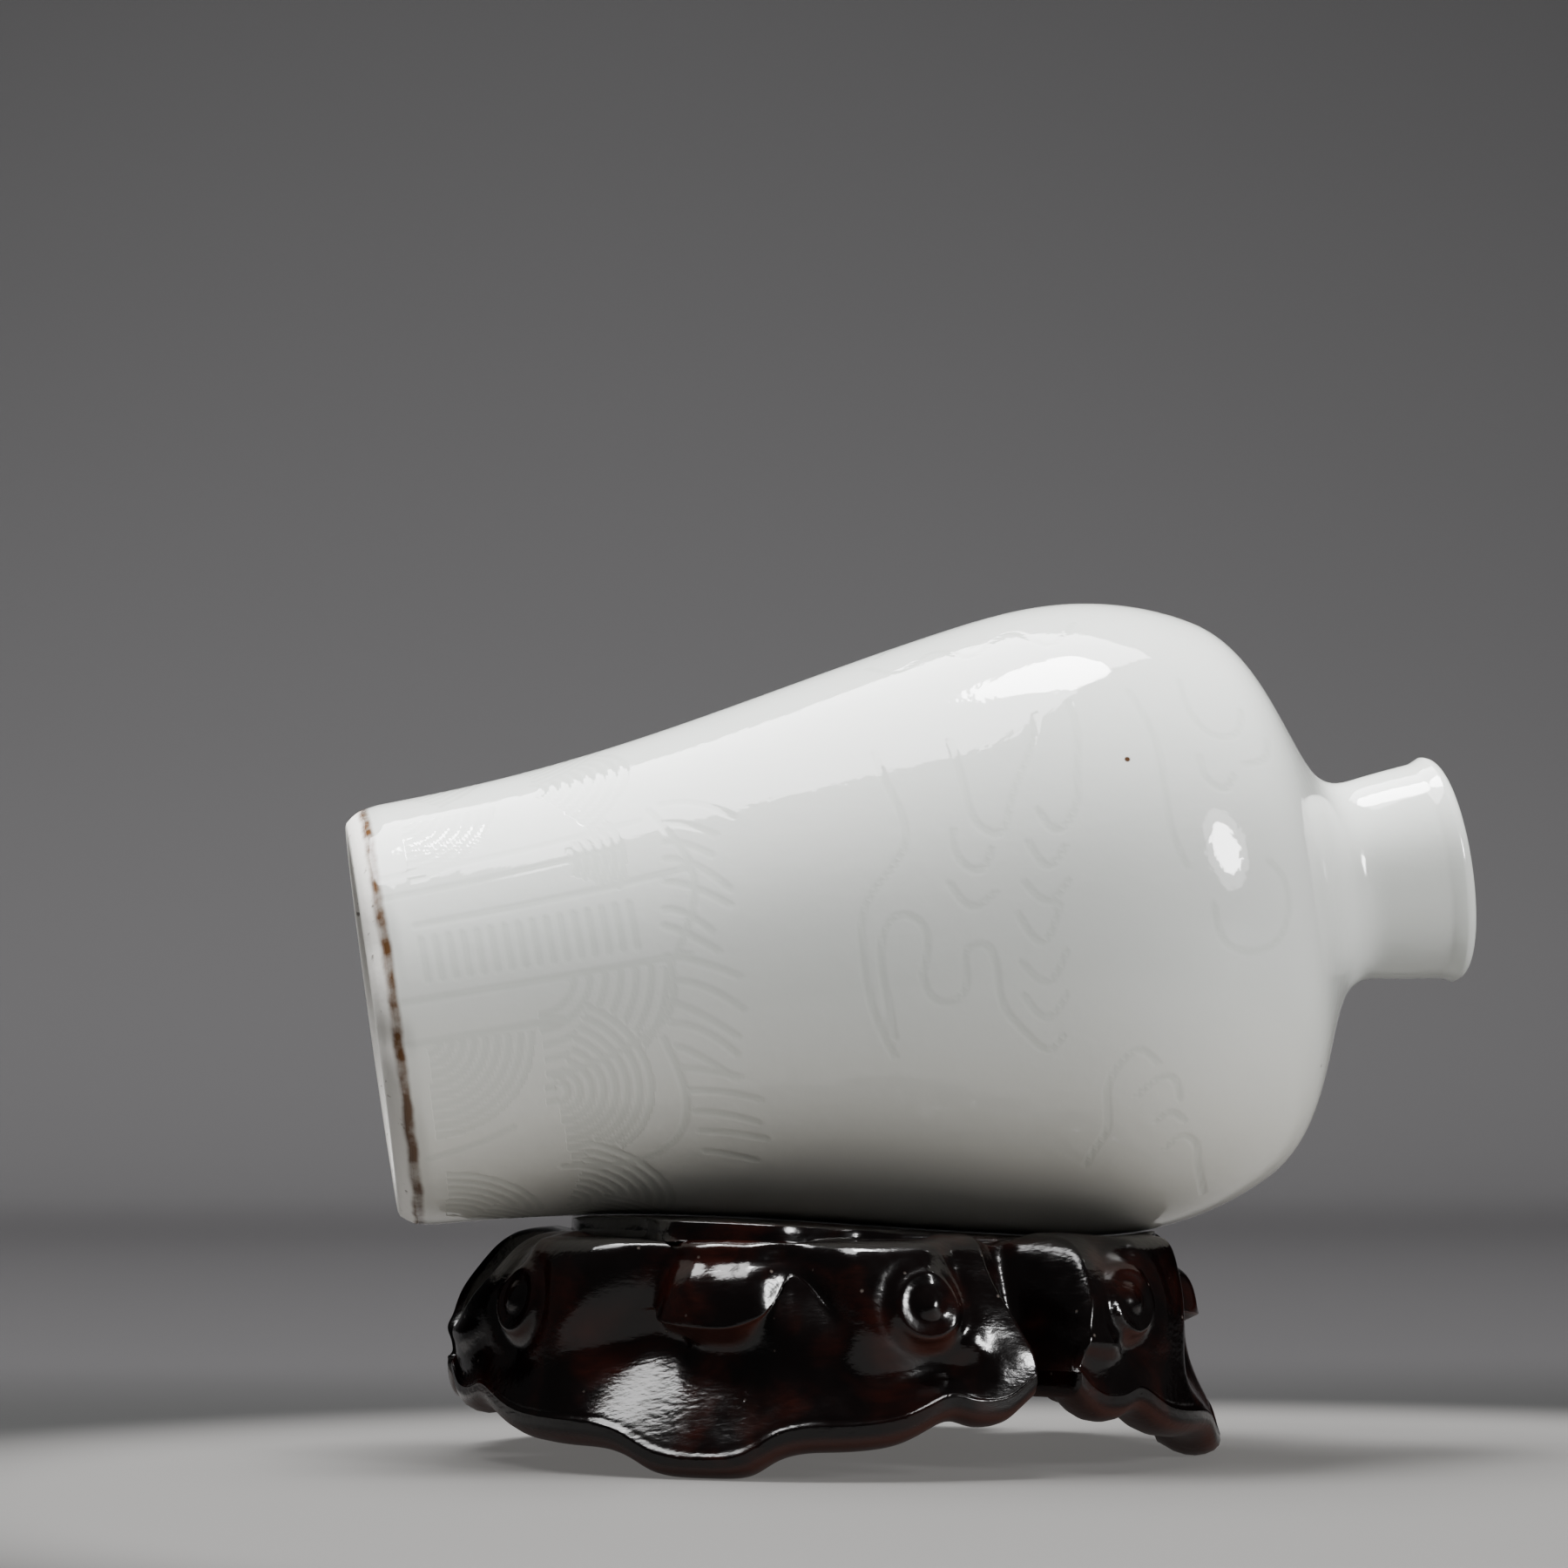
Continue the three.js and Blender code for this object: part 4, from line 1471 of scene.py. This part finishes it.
        corner = mix(*self.lip_corners, ease(angle, *self.corner_turn))[None, :]
        lip_rise = corner * (np.minimum(from_flap, 14) / self.corner_angle) ** self.corner_power
        lip_rise = lip_rise * (1 - ease(from_flap, *self.lip_end))
        swell = self.flap_swell * (bump(angle + 4.0, 2.3) + 0.8 * bump(angle - 6.5, 2.4))[None, :]
        narrowing = (np.minimum(from_flap, 15) / self.corner_angle) ** self.corner_power
        bulge = swell * np.sin(math.pi * reach) ** 0.7 - self.flap_narrowing * narrowing * reach
        radius[:count] += (on_flap * bulge)[:count]
        height[:count] += (lip_rise * reach**2 - on_flap * top_drop * (1 - reach))[:count]
        height[count:] += (lip_rise * (1 - gone) ** 3)[count:]
        overhang = (on_flap * (1 - gone) ** self.overhang_power)[count:]
        radius[count:] += (radius[count - 1] - 0.03 - radius[count]) * overhang
        height[count:] += (height[count - 1] - 0.08 - height[count]) * overhang

        arris = smooth_curve(*np.array(self.arris_line).T, np.abs(angle))
        return radius, height + (arris - height[-1]) * gone**1.5

    def carving(self, beside: np.ndarray, height: np.ndarray) -> np.ndarray:
        """How far the whorls and their surroundings stand out from the face.

        A disc with a bead round it and a knob in its middle lies inside a groove; disc, bead and
        groove are fullest below the disc and on its side away from the flap. Bells set a crescent on
        the flap's side, and hollow the face below the whorl and on the shoulder outside it.

        Args:
            beside: millimetres along the face from the whorl's middle, away from the flap.
            height: heights of the surface.

        Returns:
            Millimetres outward.
        """
        up = height - self.whorl_height
        out = np.hypot(beside, up)
        turn = np.arctan2(beside, up) % (2 * math.pi)
        rim = 2.1 - 0.2 * np.cos(turn)
        below = 0.3 + 0.35 * (1 + np.cos(turn - 0.8 * math.pi))
        disc = 0.4 * (1 - ease(out - rim, -0.1, 0.45)) * below**0.5
        bead = 0.07 * bump(out - rim + 0.1, 0.14) * below
        knob = 0.2 * bump(out, 0.6) - 0.18 * bump(out - 1.2, 0.35)
        groove = -0.36 * bump(out - rim - 0.9, 0.45) * below
        crescent = 0.14 * bump(out - 3.8, 0.55) * bump(np.degrees(turn) - 285, 16)
        hollow = -0.5 * bump(up + 4.1, 0.8) * bump(beside - 0.4, 1.8)
        shoulder = -0.26 * bump(up + 3.0, 1.0) * bump(beside - 5.0, 1.3)
        return disc + bead + knob + groove + crescent + hollow + shoulder

    def lean(self, height: np.ndarray, half: np.ndarray) -> np.ndarray:
        """How far each place has leaned in from its head's edge: 0 low down, 1 at the top.

        Args:
            height: heights of the surface.
            half: which half of which head each column is on.

        Returns:
            Shares of the half's narrowing.
        """
        low, high = self.straight_lean
        straight = np.clip((height - low) / (high - low), 0, 1)
        return np.where(half == self.straight_half, straight, ease(height, *self.lean_heights))

    def face_rings(self) -> tuple[np.ndarray, np.ndarray]:
        """Carves the heads' faces, from the ledge down to the arris, and the gaps between them.

        Returns:
            Points in millimetres, one ring for each place down the face, and the direction of each
            point about the stand's middle, in radians.
        """
        angle, head, scale = self.head_columns()
        away = np.abs(angle)
        number = np.repeat(np.arange(len(self.heads)), self.columns_per_head)
        half = 2 * number + (angle >= 0)
        over, under, last = np.linspace(0, 0.496, 44), np.linspace(0.5, 0.94, 38), np.linspace(0.95, 1, 12)
        share = np.concatenate([over, under, last])
        inside = np.clip(angle, -self.edge_angle, self.edge_angle)
        top_drop = np.array(self.flap_top_drops)[number]
        radius, height = self.profile(inside, share, top_drop, (number == 0).astype(float))

        narrowing = np.array(self.edge_narrowings)[half]
        squeezed = away * (1 - narrowing * self.lean(height, half) / self.edge_angle)
        beside = np.radians((squeezed - np.array(self.whorl_angles)[half]) * scale) * self.arris_radius
        fade = 1 - ease(away, *self.carving_end)
        radius = radius + self.carving_depth * self.carving(beside, height) * fade
        # A bead on the arris itself and a fine groove above it.
        above = 14.0 * (1 - share)[:, None]
        radius = radius + 0.03 * bump(above - 0.08, 0.06) - 0.03 * bump(above - 0.3, 0.1)

        gap = np.clip((away - self.edge_angle) / (self.gap_middle - self.edge_angle), 0, 1)
        floor_radius = mix(self.pad_gap_radius + 1.2, self.gap_radius, share)[:, None]
        radius = mix(radius, np.minimum(radius, floor_radius), 1 - (1 - gap) ** 2)
        floor_height = mix(self.ledge_height - 0.4, self.gap_height, share)[:, None]
        height = mix(height, floor_height, ease(gap, 0, 1))
        edge = self.edge_angle - narrowing * self.lean(height, half)
        on_head = away * edge / self.edge_angle
        spread = np.where(away <= self.edge_angle, on_head, mix(edge, self.gap_middle, gap))
        direction = np.radians(head + np.sign(angle) * spread * scale)
        return self.around(radius, height, direction), direction

    def around(self, radius: np.ndarray, height: np.ndarray, direction: np.ndarray) -> np.ndarray:
        """Sets points about the stand's middle.

        Args:
            radius: distances from the middle.
            height: heights.
            direction: directions in radians, 0 towards the viewer.

        Returns:
            Points in millimetres.
        """
        x = self.centre_x + radius * np.sin(direction)
        return np.stack([x, -radius * np.cos(direction), height + 0 * x], axis=-1)

    def seat_rings(self, top: np.ndarray, direction: np.ndarray) -> np.ndarray:
        """Dishes the seat, rounds the pad's edge and carries its side down to the heads' tops.

        Args:
            top: the highest ring of the face.
            direction: that ring's directions in radians.

        Returns:
            Points in millimetres, ring after ring from the middle outward.
        """
        away = np.abs(self.head_columns()[0])
        pad = mix(self.pad_flap_radius, self.pad_gap_radius, ease(away, *self.pad_narrowing))
        middle_x = self.centre_x + self.seat_shift
        rim_x, rim_y = self.around(pad, 0.0, direction)[:, :2].T
        rings = []
        for part in np.concatenate([np.linspace(0.05, 0.96, 22), [0.985, 1.0]]):
            x, y = mix(middle_x, rim_x, part), rim_y * part
            soften = 0.06 * (part >= 1.0)
            rings.append(np.stack([x, y, self.seat_height(x, y) - soften], axis=-1))
        rim_height = self.seat_height(rim_x, rim_y)
        pad_foot = np.minimum(np.minimum(rim_height - 0.2, self.ledge_height), top[:, 2] + 0.05)
        reach = np.hypot(top[:, 0] - rim_x, top[:, 1] - rim_y)
        for out, down, across in self.pad_side:
            far = np.minimum(out, self.pad_step * reach) + across * np.maximum(reach - 0.5, 0)
            level = mix(rim_height, mix(pad_foot, top[:, 2], across), down)
            rings.append(self.around(pad + far, level, direction))
        return np.stack(rings)

    def under_rings(self, radius: np.ndarray, arris: np.ndarray, direction: np.ndarray) -> np.ndarray:
        """Rounds the lip under the arris and hollows the stand.

        The sole lies the lip's thickness below the arris, but never under the floor: with d that
        height, it is (d + sqrt(d^2 + r^2)) / 2 less its least value, which rounds the change by r.

        Args:
            radius: radius of the arris, for each column.
            arris: height of the arris.
            direction: directions in radians.

        Returns:
            Points in millimetres, ring after ring from the arris inward.
        """
        above_floor = arris - self.lip_thickness
        sole = (above_floor + np.hypot(above_floor, self.sole_rounding)) / 2
        sole = sole - sole.min()
        inner = radius - self.lip_width
        rings = [(radius + out, mix(arris, sole, down)) for out, down in self.lip_section]
        rings.append((inner - 0.4, mix(sole, self.hollow_ceiling, 0.25)))
        rings.append((inner - 1.0, mix(sole, self.hollow_ceiling, 0.6)))
        rings.append((self.hollow_radius, self.hollow_ceiling - self.hollow_crown))
        for part in (0.92, 0.7, 0.45, 0.2):
            rings.append((self.hollow_radius * part, self.hollow_ceiling + self.hollow_crown * (1 - part)))
        return np.stack([self.around(ring, height, direction) for ring, height in rings])

    def build(self, wood: bpy.types.Material) -> bpy.types.Object:
        """Carves the stand: seat, heads, lip and hollow in one closed skin of rings.

        Args:
            wood: the finish.

        Returns:
            The stand.
        """
        face, direction = self.face_rings()
        radius = np.hypot(face[-1, :, 0] - self.centre_x, face[-1, :, 1])
        top = self.seat_rings(face[0], direction[0])
        bottom = self.under_rings(radius, face[-1, :, 2], direction[-1])
        grid = np.concatenate([top, face, bottom])
        seat_x = self.centre_x + self.seat_shift
        seat = self.seat_height(np.array([seat_x]), np.array([0.0]))[0]
        ends = np.array([[seat_x, 0, seat], [self.centre_x, 0, self.hollow_ceiling + self.hollow_crown]])
        points = np.vstack([grid.reshape(-1, 3), ends]) * MM
        faces = [part[:, ::-1] for part in closed_skin(len(grid), grid.shape[1])]
        return make_mesh("hardwood_stand", points, faces, wood)


@dataclass
class Studio:
    """Floor with a painted pool of light and painted shade, soft lights and the camera at the photographed
    view.

    The eye, the lens and its sensor are in millimetres and everything else in metres. A pair of
    places is where a smooth change starts and ends; the bend's run is in shares of the floor's rows.
    """

    eye: tuple[float, float, float] = (-41.64, -317.93, 23.62)
    gaze: tuple[float, float, float] = (0.10258, 0.99228, 0.06976)
    lens: float = 106.0
    sensor: float = 36.0
    # Painted light on the floor: a pale pool round the object, which also glows.
    glowing_pool_tint: str = "#4c4b4a"
    # Painted shade in front of the object and at its sides, seen only in reflections.
    painted_shade_tint: str = "#161616"
    middle_tint: str = "#2a292a"
    back_tint: str = "#605f60"
    air_tint: str = "#d8d8d8"
    air_strength: float = 0.08
    floor_glow: float = 1.7
    pale_middle: tuple[float, float, float] = (0.005, -0.03, 0.0)
    pale_reach: tuple[float, float] = (0.062, 0.092)
    pale_sides: tuple[float, float] = (0.07, 0.13)
    pale_spread: float = 0.32
    back_from: tuple[float, float] = (0.03, 0.12)
    back_full: tuple[float, float] = (0.5, 1.4)
    floor_half_width: float = 3.0
    floor_front: float = -2.0
    floor_back: float = 1.0
    bend_radius: float = 0.6
    wall_height: float = 2.4
    floor_rows: int = 40
    bend_run: tuple[float, float] = (0.5, 0.8)
    lit_place: tuple[float, float, float] = (0.0, 0.0, 0.04)

    def camera(self) -> None:
        """Makes the camera."""
        data = bpy.data.cameras.new("camera")
        data.lens = self.lens
        data.sensor_width = self.sensor
        data.clip_start = 0.01
        data.clip_end = 20.0
        eye = bpy.data.objects.new("camera", data)
        eye.location = Vector(self.eye) * MM
        eye.rotation_mode = "QUATERNION"
        eye.rotation_quaternion = Vector(self.gaze).to_track_quat("-Z", "Y")
        bpy.context.scene.collection.objects.link(eye)
        bpy.context.scene.camera = eye

    def backdrop(self, tree: bpy.types.NodeTree, place: bpy.types.NodeSocket) -> bpy.types.NodeSocket:
        """Tints the floor away from the object: grey behind, in a strip that widens, and dark painted shade
        elsewhere.

        Only reflections see the painted shade, in front and at the sides, where it stands for the unlit room.

        Args:
            tree: the material's node tree.
            place: places in metres.

        Returns:
            The tint.
        """
        parts = add_node(tree, "ShaderNodeSeparateXYZ", vector=place)
        far = add_node(
            tree,
            "ShaderNodeMapRange",
            {"interpolation_type": "SMOOTHSTEP"},
            value=parts.outputs["Y"],
            from_min=self.back_full[0],
            from_max=self.back_full[1],
        )
        grey = add_node(
            tree,
            "ShaderNodeMix",
            {"data_type": "RGBA"},
            i0=far.outputs["Result"],
            i6=linear(self.middle_tint),
            i7=linear(self.back_tint),
        ).outputs[2]
        behind = add_node(
            tree,
            "ShaderNodeMapRange",
            {"interpolation_type": "SMOOTHSTEP"},
            value=parts.outputs["Y"],
            from_min=self.back_from[0],
            from_max=self.back_from[1],
        ).outputs["Result"]
        aside = add_node(tree, "ShaderNodeMath", {"operation": "ABSOLUTE"}, i0=parts.outputs["X"])
        aside = add_node(
            tree,
            "ShaderNodeMath",
            {"operation": "MULTIPLY_ADD"},
            i0=parts.outputs["Y"],
            i1=-self.pale_spread,
            i2=aside.outputs[0],
        )
        inside = add_node(
            tree,
            "ShaderNodeMapRange",
            {"interpolation_type": "SMOOTHSTEP"},
            value=aside.outputs[0],
            from_min=self.pale_sides[1],
            from_max=self.pale_sides[0],
        ).outputs["Result"]
        shown = add_node(tree, "ShaderNodeMath", {"operation": "MULTIPLY"}, i0=behind, i1=inside)
        # Painted shade wherever the floor is neither behind the object nor in the widening strip.
        return add_node(
            tree,
            "ShaderNodeMix",
            {"data_type": "RGBA"},
            i0=shown.outputs[0],
            i6=linear(self.painted_shade_tint),
            i7=grey,
        ).outputs[2]

    def floor_material(self) -> bpy.types.Material:
        """Makes the floor's material: matt, with a painted pool of light, a pale disc round the object that
        also glows.

        Returns:
            The material.
        """
        material = bpy.data.materials.new("pale_floor")
        material.use_nodes = True
        tree = material.node_tree
        shader = tree.nodes["Principled BSDF"]
        place = add_node(tree, "ShaderNodeTexCoord").outputs["Object"]
        off = add_node(tree, "ShaderNodeVectorMath", {"operation": "SUBTRACT"}, i0=place, i1=self.pale_middle)
        away = add_node(tree, "ShaderNodeVectorMath", {"operation": "LENGTH"}, i0=off.outputs["Vector"])
        near = add_node(
            tree,
            "ShaderNodeMapRange",
            {"interpolation_type": "SMOOTHSTEP"},
            value=away.outputs["Value"],
            from_min=self.pale_reach[1],
            from_max=self.pale_reach[0],
        ).outputs["Result"]
        # The pale disc is painted light: a pale colour, and an emission that makes the floor glow there and
        # light the bottle and stand from below.
        for socket, beyond in (("Base Color", self.backdrop(tree, place)), ("Emission Color", (0, 0, 0, 1))):
            tint = add_node(
                tree, "ShaderNodeMix", {"data_type": "RGBA"}, i0=near, i6=beyond, i7=linear(self.glowing_pool_tint)
            )
            tree.links.new(tint.outputs[2], shader.inputs[socket])
        shader.inputs["Emission Strength"].default_value = self.floor_glow
        shader.inputs["Roughness"].default_value = 0.6
        shader.inputs["Specular IOR Level"].default_value = 0.2
        return material

    def floor(self) -> None:
        """Makes the floor: flat, then a quarter circle up behind, then a wall, swept along X."""
        x = np.array([[-self.floor_half_width], [self.floor_half_width]])
        run = np.linspace(0, 1, self.floor_rows)
        start, end = self.bend_run
        bend = np.clip((run - start) / (end - start), 0, 1) * math.pi / 2
        flat = self.floor_front + run / start * (self.floor_back - self.floor_front)
        y = np.where(run < start, flat, self.floor_back + self.bend_radius * np.sin(bend))
        wall = np.clip((run - end) / (1 - end), 0, 1) * self.wall_height
        z = self.bend_radius * (1 - np.cos(bend)) + wall
        points = np.stack([x + 0 * y, y + 0 * x, z + 0 * x], axis=-1).reshape(-1, 3)
        k = np.arange(self.floor_rows - 1)
        faces = np.stack([k, k + self.floor_rows, k + self.floor_rows + 1, k + 1], axis=-1)
        make_mesh("pale_floor", points, [faces], self.floor_material())

    def light(self, name: str, place: tuple, size: tuple, power: float, shape: str = "RECTANGLE") -> None:
        """Adds one soft panel light that faces the bottle.

        Args:
            name: the light's name.
            place: its middle in metres.
            size: its width and height in metres.
            power: its power in watts.
            shape: the outline of the panel.
        """
        data = bpy.data.lights.new(name, "AREA")
        data.shape = shape
        data.size, data.size_y = size
        data.energy = power
        lamp = bpy.data.objects.new(name, data)
        lamp.location = place
        lamp.rotation_mode = "QUATERNION"
        lamp.rotation_quaternion = (Vector(self.lit_place) - Vector(place)).to_track_quat("-Z", "Y")
        bpy.context.scene.collection.objects.link(lamp)

    def build(self) -> None:
        """Sets up camera, floor, lights and the air's pale glow."""
        self.camera()
        self.floor()
        self.light("overhead_panel", (-0.22, 0.195, 1.04), (1.05, 0.65), 36.0)
        self.light("overhead_core", (-0.04, 0.125, 0.97), (0.34, 0.30), 18.0, "ELLIPSE")
        self.light("side_panel", (0.67, -0.654, 0.39), (0.30, 0.46), 2.4, "ELLIPSE")
        self.light("side_core", (0.64, -0.625, 0.375), (0.18, 0.28), 8.0, "ELLIPSE")
        world = bpy.data.worlds.new("studio_air")
        bpy.context.scene.world = world
        world.use_nodes = True
        air = world.node_tree.nodes["Background"]
        air.inputs["Color"].default_value = linear(self.air_tint)
        air.inputs["Strength"].default_value = self.air_strength


def main() -> None:
    """Builds the object and the studio."""
    logging.basicConfig(level=logging.INFO, format="%(message)s")
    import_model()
    Studio().build()
    bottle = Bottle()
    lying = bottle.build(Glaze().build(bottle), Decoration().cut_into(bottle))
    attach(lying, "bottle")
    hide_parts("bottle")
    LOG.info("bottle: %d vertices", len(lying.data.vertices))
    stand = Stand(bottle).build(Hardwood().build())
    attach(stand, "stand")
    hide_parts("stand")
    LOG.info("stand: %d vertices", len(stand.data.vertices))


if __name__ == "__main__":
    main()
